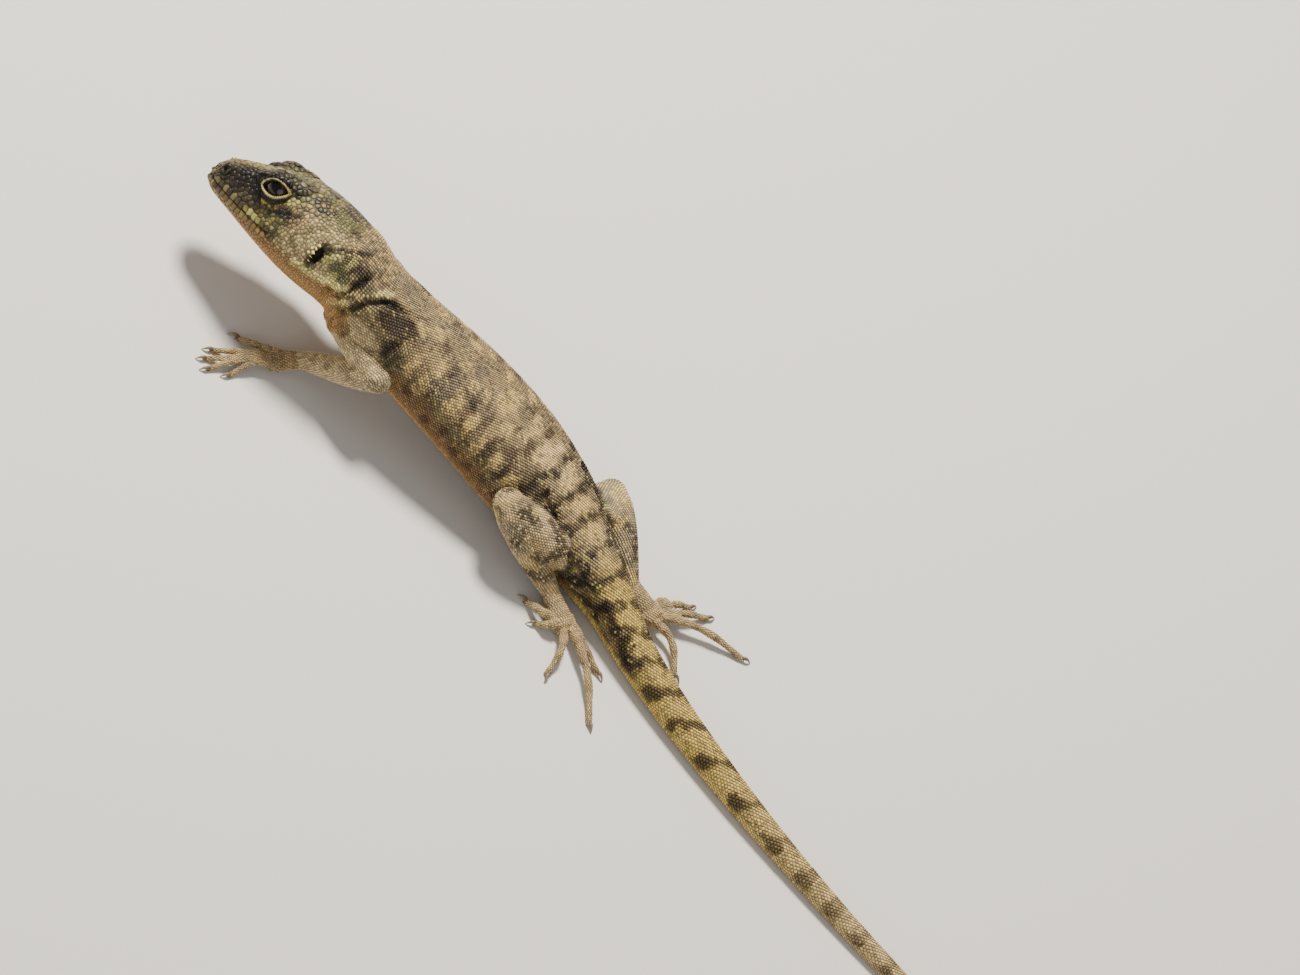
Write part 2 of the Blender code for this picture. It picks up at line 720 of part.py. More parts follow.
def make_limb(limb, radii, swells, widths, thickness, digit_radius):
    """Upper length, lower length and paw of one limb, parted at their joints."""
    upper_name, lower_name, paw_name = limb["names"]
    root, middle, end = [np.asarray(joint, float) for joint in limb["joints"]]
    shell = trunk_shell(GAP)
    upper_along = unit(middle - root)
    lower_along = unit(end - middle)
    palm_along = unit(np.asarray(limb["palm_end"], float) - end)
    middle_cut = unit(upper_along + lower_along)
    end_cut = unit(lower_along + palm_along)
    half = GAP / 2

    upper = limb_length(upper_name, root, middle, radii[0], radii[1], swells[0])
    upper = trim(upper, middle - middle_cut * half, middle_cut)
    place(upper_name, boolean(upper, [shell.copy()], "DIFFERENCE"), "limb")

    lower = limb_length(lower_name, middle, end, radii[1], radii[2], swells[1])
    lower = trim(lower, middle + middle_cut * half, -middle_cut)
    lower = trim(lower, end - end_cut * half, end_cut)
    place(lower_name, boolean(lower, [shell.copy()], "DIFFERENCE"), "limb")

    mesh = paw(end, limb["palm_end"], limb["tips"], widths, thickness, digit_radius,
               radii[2])
    mesh = trim(mesh, end + end_cut * half, -end_cut)
    mesh = trim(mesh, (0, 0, 0), (0, 0, -1))
    place(paw_name, mesh, "digit")


def centre_model():
    """Move every piece so that the floor's origin is under the middle of the model."""
    pieces = [thing for thing in bpy.data.objects if thing.type == "MESH"]
    corners = np.array([piece.matrix_world @ vertex.co
                        for piece in pieces for vertex in piece.data.vertices])
    low = corners.min(axis=0)
    high = corners.max(axis=0)
    middle = (low + high) / 2
    for piece in pieces:
        piece.location = Vector((-middle[0], -middle[1], -low[2]))


def main():
    for thing in list(bpy.data.objects):
        bpy.data.objects.remove(thing)
    make_head()
    make_eyes()
    make_neck()
    make_torso()
    make_tail()
    for side in ("left", "right"):
        make_limb(LIMBS[side + "_arm"], ARM_RADII, ARM_SWELL, HAND_WIDTHS,
                  HAND_THICKNESS, FINGER_RADIUS)
        make_limb(LIMBS[side + "_leg"], LEG_RADII, LEG_SWELL, FOOT_WIDTHS,
                  FOOT_THICKNESS, TOE_RADIUS)
    centre_model()


main()
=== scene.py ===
"""Looks of the Amazon lava lizard: one skin, its scales, eyes, lids and claws.

The shapes are made in the model's design frame, from the same sizes as the solids,
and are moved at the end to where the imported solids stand. In that frame x = 0 is
the vent, the head points towards -X, the left side faces -Y and the floor is z = 0.
All sizes are in metres and all angles in degrees, unless a name says otherwise.
A side is 1 for the left and -1 for the right.
"""

import math

import bpy
import numpy as np
from mathutils import Matrix, Vector
from mathutils.bvhtree import BVHTree
from mathutils.kdtree import KDTree


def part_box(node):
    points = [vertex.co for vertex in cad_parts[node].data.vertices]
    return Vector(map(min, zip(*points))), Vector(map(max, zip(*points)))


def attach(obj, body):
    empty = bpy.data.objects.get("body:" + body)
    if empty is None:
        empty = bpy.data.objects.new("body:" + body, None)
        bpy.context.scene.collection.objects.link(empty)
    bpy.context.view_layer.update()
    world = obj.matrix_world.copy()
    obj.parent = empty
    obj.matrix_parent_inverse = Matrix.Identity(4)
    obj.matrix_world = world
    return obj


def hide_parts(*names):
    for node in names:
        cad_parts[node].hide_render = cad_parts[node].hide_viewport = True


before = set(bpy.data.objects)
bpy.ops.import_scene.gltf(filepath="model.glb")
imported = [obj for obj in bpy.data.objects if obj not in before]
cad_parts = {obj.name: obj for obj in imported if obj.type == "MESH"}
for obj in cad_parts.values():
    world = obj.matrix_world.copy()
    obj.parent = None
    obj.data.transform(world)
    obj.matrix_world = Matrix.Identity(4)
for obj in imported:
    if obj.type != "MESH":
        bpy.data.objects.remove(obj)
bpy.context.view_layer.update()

UP = np.array((0.0, 0.0, 1.0))
# Random table: cells along each side, and how many cells the places are moved by
NOISE_CELLS = 64
NOISE_OFFSET = 1000
# Turn left open at each pole of a ball, in radians
POLE_GAP = 0.03
SIDES = (1, -1)
RANDOM = np.random.default_rng(41)

# Skin: how far it lies inside the solids, and how it is meshed and smoothed
COAT_DEPTH = 0.00012
VOXEL = 0.00023
SKIN_FACE_SHARE = 0.42
SMOOTH_ROUNDS = 8
SMOOTH_STEPS = (0.5, -0.52)
FLOOR_CLEARANCE = 0.00003

# Trunk: x, y and z of the middle, half width, half height, lean of the back
TRUNK_STATIONS = (
    (-0.0600, -0.0031, 0.0146, 0.0089, 0.0074, 16.0),
    (-0.0530, -0.0017, 0.0133, 0.0096, 0.0073, 12.0),
    (-0.0450, 0.0000, 0.0120, 0.0107, 0.0072, 9.0),
    (-0.0350, 0.0016, 0.0105, 0.0112, 0.0072, 6.0),
    (-0.0250, 0.0023, 0.0090, 0.0109, 0.0070, 3.0),
    (-0.0160, 0.0020, 0.0076, 0.0094, 0.0065, 0.0),
    (-0.0070, 0.0004, 0.0061, 0.0072, 0.0056, -3.0),
    (0.0000, -0.0006, 0.0050, 0.0052, 0.0049, -6.0),
)
# Tail: x and y of the middle, half width, half height
TAIL_STATIONS = (
    (0.0000, -0.0006, 0.0052, 0.0049),
    (0.0050, -0.0015, 0.0043, 0.0042),
    (0.0100, -0.0033, 0.0038, 0.0036),
    (0.0200, -0.0059, 0.0033, 0.0030),
    (0.0380, -0.0090, 0.0027, 0.0025),
    (0.0590, -0.0109, 0.0021, 0.0020),
    (0.0820, -0.0115, 0.0017, 0.0016),
    (0.1120, -0.0095, 0.0011, 0.0011),
    (0.1400, -0.0060, 0.0005, 0.0006),
)
TAIL_LEAN = -6.0
FLOOR_DIP = 0.00025
TRUNK_POWER = 2.25
BODY_SIDES = 96
BODY_RING_STEP = 0.001
NECK_STEPS = 14
NECK_START = -0.0745
EVENED_RINGS = slice(NECK_STEPS + 4, -3)
EVENING_ROUNDS = 8
AXIS_STEP = 0.0005

# Head, in its own frame: x forward of the ears, y to the left, z up
HEAD_ORIGIN = (-0.0718, -0.0041, 0.0166)
HEAD_PITCH_DOWN = 6.0
HEAD_TURN_LEFT = 5.5
HEAD_LEAN = 28.0
HEAD_BACK = -0.0040
HEAD_POWER = 2.5
# Sections of the head: x, half width, top, underside and height of the widest place
HEAD_STATIONS = (
    (-0.0040, 0.0084, 0.0077, -0.0073, 0.0002),
    (0.0000, 0.0089, 0.0084, -0.0072, -0.0006),
    (0.0050, 0.0088, 0.0087, -0.0067, -0.0014),
    (0.0095, 0.0077, 0.0082, -0.0060, -0.0014),
    (0.0135, 0.0063, 0.0068, -0.0053, -0.0012),
    (0.0170, 0.0051, 0.0051, -0.0046, -0.0010),
    (0.0200, 0.0040, 0.0037, -0.0040, -0.0010),
    (0.0221, 0.0029, 0.0023, -0.0034, -0.0010),
    (0.0233, 0.0012, 0.0006, -0.0027, -0.0012),
)
HEAD_RINGS = 60
HEAD_INSIDE = 0.003
HEAD_REACH = 0.0105
INNER_RING_SHARE = 0.75
MOUTH_STATIONS = ((0.0094, -0.0018), (0.0145, -0.0018), (0.0190, -0.0016), (0.0225, -0.0013))
MOUTH_STEPS = 24
MOUTH_GROOVE = (0.00034, 0.00020)
LIP_SWELL = (0.00020, 0.0004)
LIP_GAP = 0.0007
EYE_CENTRE = (0.0122, 0.0038, 0.0046)
EYE_RADIUS = 0.0027
EYE_SEGMENTS, EYE_RINGS = 64, 48
# Degrees from the eye's middle: the iris begins, its paler inner edge ends, the shade begins
IRIS_START, IRIS_EDGE_END, SHADE_START = (24, 28), (28, 31), (50, 58)
EYE_AIM = (0.22, 0.95, 0.12)
LID_RADIUS = 0.0034
LID_OPENING = (0.00245, 0.00145)
LID_TILT = -18.0
LID_POINTING = 0.34
LID_FRONT = 0.0012
SOCKET_SHARES = (0, 0.86, 1)
SOCKET_DEPTHS = (0.0016, 0.0018, 0.0030)
RIM_BEADS = 38
RIM_STEPS = 304
RIM_SIDES = 12
RIM_REACH = 1.05
RIM_WIDTH = 0.00027
RIM_HEIGHT = 0.00020
RIM_SINK = 0.00010
# Shares of the rim's width: all round, added below, added behind
RIM_WIDTHS = (0.42, 0.36, 0.74)
# How much the beads change its width and its height, as shares
BEAD_WIDTH, BEAD_HEIGHT = 0.10, 0.28
BROW_CENTRE = (0.0112, 0.0034, 0.0051)
BROW_HALF_SIZE = (0.0059, 0.0027, 0.0029)
BROW_SLOPE = 16.0
EAR_PLACE = (0.0002, 0.0091, 0.0008)
EAR_SIZE = (0.0009, 0.0016)
EAR_DEPTH = 0.0013
EAR_SIDE = 0.004
EAR_EDGE = (0.95, 9)
CLEAR_OF_EAR = 1.05
# Pointed scales before the ear: how far out and raised, then place ahead and up, width
FRINGE_SIDE = 0.0088
FRINGE_LIFT = 0.45
EAR_FRINGE = (
    (0.0011, 0.0025, 0.00072), (0.0013, 0.0017, 0.00082), (0.0014, 0.0009, 0.00088),
    (0.0014, 0.0001, 0.00080), (0.0012, -0.0007, 0.00068), (0.0019, 0.0014, 0.00062),
    (0.0020, 0.0005, 0.00064),
)
NOSTRIL_PLACE = (0.0218, 0.0027, 0.0013)
NOSTRIL_SIZE = 0.00046
NOSTRIL_DEPTH = 0.0007
NOSTRIL_EDGE = (1.1, 8)
NOSTRIL_RIM = 0.00014
NOSTRIL_RIM_AWAY = (1.9, 0.5)
CLEAR_OF_NOSTRIL = 1.45
CLEAR_OF_EYE = 1.10
# Ridges of the head: places along the line, half width and height
RIDGES = (
    (((0.0218, 0.0022, 0.0020), (0.0185, 0.0034, 0.0036), (0.0158, 0.0045, 0.0052)),
     0.00055, 0.00022),
    (((0.0160, 0.0046, 0.0056), (0.0135, 0.0058, 0.0068), (0.0105, 0.0062, 0.0070),
      (0.0080, 0.0059, 0.0068)), 0.00050, 0.00030),
    (((0.0155, 0.0062, 0.0014), (0.0125, 0.0074, 0.0006), (0.0095, 0.0080, 0.0012)),
     0.00050, 0.00020),
    (((0.0030, 0.0087, -0.0025), (0.0008, 0.0088, -0.0022), (-0.0015, 0.0085, -0.0022)),
     0.00060, 0.00045),
    (((-0.0013, 0.0086, 0.0007), (-0.0023, 0.0083, 0.0025)), 0.00065, 0.00035),
    (((-0.0023, 0.0084, -0.0019), (-0.0047, 0.0082, -0.0015), (-0.0068, 0.0082, -0.0009)),
     0.00070, 0.00035),
)
# Skin folds on one side: station and angle of their line, half width and depth
FOLDS = (
    (((-0.0668, 150), (-0.0670, 132), (-0.0664, 100), (-0.0641, 68), (-0.0612, 50)),
     0.00055, 0.00062),
    (((-0.0612, 50), (-0.0580, 39), (-0.0545, 28)), 0.00050, 0.00034),
    (((-0.0706, 112), (-0.0690, 84), (-0.0676, 58)), 0.00050, 0.00045),
    (((-0.0735, 140), (-0.0737, 125), (-0.0728, 100)), 0.00050, 0.00022),
    (((-0.0568, 108), (-0.0550, 84), (-0.0542, 66)), 0.00060, 0.00045),
    (((-0.0170, 40), (-0.0120, 46), (-0.0060, 56), (0.0010, 72)), 0.00060, 0.00055),
)
NECK_FOLDS = FOLDS[:4]
FOLD_STEPS = 10
FOLD_RIM_SHARE = 0.35
FOLD_RIM_AWAY = 2.4
FOLD_RIM_WIDTH = 1.1

# Limbs: radii at root, middle and end, swelling, paw widths and thickness, digit radius
LIMB_SIZES = {
    "arm": ((0.0032, 0.0026, 0.0017), (0.0003, 0.0005), (0.0016, 0.0022), 0.0010, 0.00078),
    "leg": ((0.0038, 0.0030, 0.0018), (0.0008, 0.0008), (0.0017, 0.0024), 0.0012, 0.00088),
}
# Joints, end of the palm, and tip of each digit with its bow to the side
LIMBS = {
    "left_arm": (
        ((-0.0620, -0.0080, 0.0125), (-0.0503, -0.0120, 0.0120), (-0.0612, -0.0124, 0.0030)),
        (-0.0650, -0.0164, 0.0014),
        ((-0.0734, -0.0182, 0.0010), (-0.0743, -0.0252, 0.0006), (-0.0738, -0.0278, 0.0004),
         (-0.0720, -0.0290, -0.0008), (-0.0688, -0.0266, -0.0012)),
    ),
    "right_arm": (
        ((-0.0605, 0.0030, 0.0120), (-0.0512, 0.0110, 0.0085), (-0.0618, 0.0112, 0.0030)),
        (-0.0666, 0.0130, 0.0014),
        ((-0.0746, 0.0104, 0.0006), (-0.0784, 0.0150, 0.0004), (-0.0788, 0.0184, 0.0),
         (-0.0766, 0.0210, -0.0006), (-0.0704, 0.0214, -0.0006)),
    ),
    "left_leg": (
        ((-0.0080, -0.0040, 0.0070), (-0.0196, -0.0088, 0.0106), (-0.0048, -0.0083, 0.0030)),
        (0.0014, -0.0104, 0.0015),
        ((-0.0078, -0.0118, 0.0008), (-0.0034, -0.0152, 0.0010), (0.0060, -0.0218, 0.0008),
         (0.0176, -0.0222, 0.0012), (0.0128, -0.0118, -0.0008)),
    ),
    "right_leg": (
        ((-0.0095, 0.0040, 0.0070), (-0.0088, 0.0140, 0.0072), (0.0038, 0.0069, 0.0029)),
        (0.0110, 0.0063, 0.0015),
        ((0.0126, 0.0138, 0.0006), (0.0150, 0.0172, 0.0004), (0.0186, 0.0184, 0.0),
         (0.0283, 0.0171, 0.0014), (0.0222, 0.0011, 0.0022)),
    ),
}
LIMB_FLATTEN = 0.88
SWELL_PLACE = 0.7
LIMB_STEPS = 17
LIMB_SIDES = 28
PALM_STEPS = 9
PALM_FLATTEN = 0.9
PALM_START_SHARE = 0.55
PALM_FRONT_SHARE = 0.6
DIGIT_STEPS = 25
DIGIT_SIDES = 16
DIGIT_TAPER = 0.34
KNUCKLE_SWELL = 0.10
KNUCKLE_WAVES = 3
DIGIT_ARCH = 0.0011
DIGIT_SPREAD_INSET = 0.8
DIGIT_ROOT_DEPTH = (0.6, 0.5)
CLAW_LENGTH = 0.0019
CLAW_RADIUS = 0.00042
CLAW_TIP_RADIUS = 0.00008
CLAW_ARCH = 0.30
CLAW_ARCH_PLACE = 0.8
CLAW_TAPER = 1.15
CLAW_STEPS = 12
CLAW_SIDES = 12
ROUND_END_TURNS = np.radians((20, 35, 50, 65, 80))

# Scales: width, and how far apart rows lie beside the width
BODY_SCALE = 0.00055
TAIL_SCALE = 0.00062
LIMB_SCALE = 0.00050
DIGIT_SCALE = 0.00042
SCALE_STATIONS = (-0.075, -0.055, -0.012, 0.004, 0.060, 0.140)
SCALE_WIDTHS = (0.00048, BODY_SCALE, BODY_SCALE, 0.00058, TAIL_SCALE, 0.00040)
ROW_SHARE = 0.86
FEWEST_IN_A_ROW = 6
MOST_SCALES_IN_A_PIECE = 13500
SNAP_REACH = 0.00048
FOLD_EXTRA_REACH = 0.00050
FOLD_ZONE = 0.0014
MOST_STANDING = 0.72
BODY_OVERLAP = 0.0006
HEAD_ROOM = 0.55
LIMB_ROOM = 0.72
FILL_SHARE = 0.82
FILL_WIDTH = 0.94
BLEND_REACH = (0.0002, 0.0011)
UV_PATCH = 0.003
UV_MARGIN = 0.01

# A keeled scale: along, across and height beside its width, then its faces and its painted light:
# painted shade at the root, edges and underside, a painted highlight along the keel and at the tip
SCALE_POINTS = np.array((
    (-0.45, 0.00, -0.10), (-0.20, 0.47, -0.10), (-0.20, -0.47, -0.10),
    (0.38, 0.42, 0.02), (0.38, -0.42, 0.02), (0.88, 0.00, 0.16),
    (-0.10, 0.00, 0.17), (0.45, 0.00, 0.33), (0.20, 0.00, -0.14),
))
SCALE_FACES = np.array((
    (0, 6, 1), (0, 2, 6), (1, 6, 7), (1, 7, 3), (2, 7, 6), (2, 4, 7), (3, 7, 5),
    (4, 5, 7), (0, 1, 8), (1, 3, 8), (3, 5, 8), (5, 4, 8), (4, 2, 8), (2, 0, 8),
))
SCALE_PAINTED_LIGHT = np.array((0.42, 0.48, 0.48, 0.66, 0.66, 1.10, 0.95, 1.55, 0.35))
SCALE_LENGTH = 1.4
SIZE_JITTER = 0.10
SHADE_JITTER = 0.24

# Head plates: widths, how much wider or narrower they are in a region, and its bounds
PLATE_WIDTH = 0.00046
FRONT_GROWTH, FRONT = 0.00014, (0.0060, 0.0100)
TOP_GROWTH, TOP, TOP_START = 0.00035, (0.0040, 0.0062), (0.001, 0.006)
SNOUT_GROWTH, SNOUT, SNOUT_TIP = 0.00020, (0.0110, 0.0165), (0.0208, 0.0220)
UNDER_LOSS, UNDER = 0.00008, (0.0026, 0.0042)
EYE_LOSS, ROUND_EYE, EYE_SIDE = 0.00032, (0.0034, 0.0044), 0.0050
PLATE_ROOM = 0.46
PLATE_CELL = 0.0013
PLATE_START = 0.0004
PLATE_REACH = 0.78
PLATE_RISE = 0.16
PLATE_RISE_WIDTH = 0.00055
# Rings of a plate above its edge: share of the outline, share of the rise
PLATE_SHOULDER, PLATE_CROWN = (0.93, 0.3), (0.62, 0.95)
# Share of the outline at the edge, share of the rise in the middle
PLATE_EDGE_SHARE = 0.98
PLATE_TOP_SHARE = 1.12
PLATE_BOTTOM = 0.00012
PLATE_EDGE = 0.00008
# Painted light of a plate for each ring: painted shade at the edge, shoulder and underside, a
# painted highlight on the crown and top
PLATE_PAINTED_LIGHT = (0.45, 0.62, 1.05, 1.22, 0.45)
PLATE_JITTER = 0.12
PLATE_CORNERS = 8
PLATE_NEIGHBOURS = 14
# A place is a plate's neighbour from this distance and from this cosine between the normals
NO_GAP = 1e-6
MOST_TURNED_AWAY = -0.2
# Lip plates: height over the mouth line, width
LIP_PLATES = ((0.00062, 0.00105), (-0.00062, 0.0010))
LAST_LIP_PLATE = 0.0219
# Plates over the eyes: how many in a row, and the turn of its bow in radians; then each row's
# first place, way to the last, bow and plate width
BROW_PLATES = 6
BROW_TURN = 3.1
OUTER_BROW = ((0.0160, 0.0030, 0.0080), 0.0085, 0.0006, 0.00125)
INNER_BROW = ((0.0155, 0.0017, 0.0085), 0.0080, 0.0, 0.00085)
CROWN_PLATE = ((0.0045, 0.0, 0.0090), 0.0024)
PAIRED_PLATES = (
    ((0.0220, 0.0010, 0.0026), 0.0010), ((0.0200, 0.0013, 0.0040), 0.0010),
    ((0.0182, 0.0014, 0.0050), 0.0010), ((0.0023, 0.0018, 0.0090), 0.0012),
    ((0.0065, 0.0018, 0.0088), 0.0011),
)

# Looks: roughness, brightness, fineness of the grain, strength of its bump, gloss
LOOKS = {
    "scales": (0.44, 1.0, 5200, 0.35, 0.30),
    # The skin's lower brightness is painted shade in the gaps between the scales
    "skin": (0.6, 0.62, 7000, 0.5, 0.25),
    "eye": (0.12, 1.0, 900, 0.0, 0.5),
    "claw": (0.32, 1.0, 2600, 0.15, 0.35),
}
GRAIN_DETAIL = 3
GRAIN_SHADES = (0.75, 1.2)
GRAIN_GLOSS = 0.12
BUMP_DEPTH = 0.0001
EYE_COATING = {"IOR": 1.34, "Coat Weight": 0.25, "Coat Roughness": 0.02}

# Flesh nodes that the one skin stands for
FLESH_NODES = [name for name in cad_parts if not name.startswith("eye_")]

# Camera, as it stood to the animal, and studio
PHOTO_WIDTH = 1300
PHOTO_HEIGHT = 975
PIXELS_PER_METRE = 5900.0
CAMERA_ELEVATION = 44.0
CAMERA_ROLL = 46.0
CAMERA_DISTANCE = 1.5
SENSOR_WIDTH = 36.0
CLIP_START = 0.05
CLIP_END = 10
ANCHOR_POINT = (-0.006, 0.0, 0.006)
ANCHOR_PIXEL = (578, 551)
FLOOR_HALF = 2
FLOOR_ROUGHNESS = 0.8
FLOOR_COLOUR = (0.72, 0.70, 0.67, 1)
WORLD_COLOUR = (0.93, 0.91, 0.87, 1)
WORLD_STRENGTH = 0.36
# Lights: name, place, place lit, size, power, colour
LIGHTS = (
    ("key", (-0.42, 0.30, 0.72), (-0.01, 0, 0), 0.22, 17.0, (1.0, 0.94, 0.84)),
    ("fill", (0.25, -0.9, 0.5), (0, 0, 0), 0.8, 3.0, (0.93, 0.96, 1.0)),
)


def tone(red, green, blue):
    """A display colour from 0 to 255, as linear light."""
    share = np.array((red, green, blue)) / 255
    return np.where(share <= 0.04045, share / 12.92, ((share + 0.055) / 1.055) ** 2.4)


GREY = tone(128, 110, 82)
LILAC_GREY = tone(170, 147, 106)
SLATE = tone(104, 98, 88)
DARK = tone(54, 43, 36)
BLACK = tone(22, 17, 16)
TAN = tone(216, 186, 120)
PINK_TAN = tone(230, 198, 144)
CREAM = tone(222, 208, 134)
GREEN_CREAM = tone(182, 172, 104)
GREEN_WHITE = tone(196, 192, 112)
OLIVE = tone(96, 92, 58)
GREEN_GREY = tone(84, 86, 62)
OCHRE = tone(134, 96, 54)
BROWN = tone(74, 52, 38)
BELLY = tone(164, 126, 78)
KHAKI = tone(200, 172, 92)
BAR = tone(44, 30, 25)
ARM_GREY = tone(198, 174, 134)
BEAD = tone(230, 210, 152)
DIGIT_GREY = tone(186, 160, 116)
LID_CREAM = tone(216, 196, 128)
PUPIL = tone(14, 9, 8)
IRIS = tone(58, 24, 14)
IRIS_EDGE = tone(96, 64, 36)
EYE_SHADE = tone(20, 12, 10)
CLAW_ROOT = tone(74, 60, 48)
CLAW_TIP = tone(158, 140, 112)

# Body marks on one side: station and angle of the middle, half length, half width
DEGREE_LENGTH = 0.000165
LIGHT_MARKS = (
    (-0.0500, 68, 0.0009, 0.0016), (-0.0465, 72, 0.0009, 0.0018), (-0.0405, 62, 0.0010, 0.0018),
    (-0.0365, 62, 0.0009, 0.0020), (-0.0320, 64, 0.0010, 0.0020), (-0.0275, 62, 0.0010, 0.0018),
    (-0.0230, 63, 0.0011, 0.0018), (-0.0525, 34, 0.0010, 0.0014), (-0.0500, 20, 0.0010, 0.0017),
    (-0.0460, 50, 0.0008, 0.0011), (-0.0430, 14, 0.0011, 0.0016), (-0.0400, 28, 0.0009, 0.0013),
    (-0.0365, 22, 0.0009, 0.0015), (-0.0335, 8, 0.0012, 0.0019), (-0.0305, 30, 0.0009, 0.0015),
    (-0.0270, 8, 0.0015, 0.0027), (-0.0222, 6, 0.0015, 0.0028), (-0.0171, 3, 0.0015, 0.0028),
    (-0.0121, 2, 0.0015, 0.0028), (-0.0071, 2, 0.0015, 0.0028), (-0.0020, 0, 0.0016, 0.0029),
)
DARK_MARKS = (
    (-0.0475, 30, 0.0009, 0.0014), (-0.0440, 38, 0.0009, 0.0019), (-0.0385, 44, 0.0009, 0.0018),
    (-0.0343, 46, 0.0009, 0.0019), (-0.0298, 56, 0.0009, 0.0018), (-0.0253, 62, 0.0008, 0.0022),
    (-0.0295, 20, 0.0007, 0.0012), (-0.0246, 22, 0.0009, 0.0018), (-0.0206, 54, 0.0011, 0.0024),
    (-0.0197, 14, 0.0007, 0.0010), (-0.0146, 15, 0.0008, 0.0012), (-0.0096, 14, 0.0008, 0.0012),
)
FLANK_SPOTS = (
    (-0.0470, 90, 0.0008, 0.0009), (-0.0425, 94, 0.0008, 0.0009), (-0.0385, 90, 0.0008, 0.0010),
    (-0.0345, 93, 0.0009, 0.0010), (-0.0305, 90, 0.0009, 0.0010), (-0.0265, 92, 0.0008, 0.0009),
    (-0.0225, 90, 0.0009, 0.0010),
)
SHOULDER_PATCH = (-0.0572, 52, 0.0048, 0.0032)
# Painted shade in the armpit, under the upper arm where it lies against the flank
ARM_PIT = (-0.0545, 78, 0.0022, 0.0024)
ARM_ROOT = (-0.0592, 98, 0.0046, 0.0026)
SHOULDER_STATION = -0.0600
SADDLE_PITCH = 0.0051
SADDLE_START = 0.0020
TAIL_PITCH = 0.0066
TAIL_ROW_PITCH = 0.00125
BAR_SLANT = 0.0016
DIGIT_BANDS = 4.5

# Where marks change along the body: start and end of each change
REAR = (-0.029, -0.021)
PINK_BACK = (-0.034, -0.022)
KHAKI_BACK = (-0.022, -0.008)
SHOULDER_REACH = (0.0060, 0.0095)
HIPS_START, HIPS_END = (-0.025, -0.018), (0.012, 0.022)
TAIL_START, TAIL_FADE, PITCH_CHANGE = (-0.004, 0.002), (0.030, 0.075), (0.010, 0.060)
NECK_END = (-0.066, -0.058)
RIGHT_LEG_START = 0.003
# The same round the body, in degrees from the top; single values place or shift an edge
FLANK, OLIVE_FLANK, BACK, LOW_FLANK, BELLY_EDGE = (24, 50), (60, 90), (15, 50), (78, 98), (104, 128)
SHOULDER_DROP = 36
TAIL_SIDE, TAIL_ROW_END, TAIL_BAR_END, TAIL_BELLY = (18, 44), (70, 100), (84, 120), (112, 138)
HIP_BOTTOM, HIP_EDGE, HIP_RISE, HIP_RAGGED = (88, 104), 37, 26, 11
NECK_OLIVE, NECK_OCHRE, NECK_BELLY = (40, 75), (92, 112), (108, 130)
FOLD_TOP, FOLD_BOTTOM = (26, 44), (104, 124)
# Where the edge of a mark starts and ends, as shares of its reach
SPOT_EDGE, LINE_EDGE, FOLD_EDGE = (0.7, 1.35), (0.75, 1.2), (0.7, 1.3)
FOLD_DARKNESS = 0.92
# Where they change on the head: ahead of the ears, up, down, and off the middle
CHEEK_FRONT, CHEEK_TOP = (0.0055, 0.0085), (0.0050, 0.0070)
SNOUT_START, SNOUT_END, SNOUT_HEIGHT = (0.0130, 0.0150), 0.0150, 0.0056
SNOUT_SLOPE, SNOUT_EDGE = 0.5, (-0.0004, 0.0006)
LIP_LEVEL, LIP_HALF_HEIGHT, LIP_START = 0.0015, 0.0011, 0.0125
JAW_LEVEL, JAW_EDGE, THROAT = 0.0022, (-0.0004, 0.0008), (0.0034, 0.0046)
OFF_MIDDLE = (0.0012, 0.0026)
EYE_ARC_BELOW, EYE_ARC_AHEAD = 0.0012, 0.0018
# How far marks wander (in metres, lines and folds in shares of their reach), lump size, seed
WANDER_ALONG = (0.0010, 0.0058, 5)
WANDER_ACROSS = (0.0014, 0.0052, 6)
WANDER_BARS = (0.0007, 0.0016, 4)
WANDER_LINES = (0.45, 0.0011, 31)
WANDER_FOLDS = (0.45, 0.0011, 14)

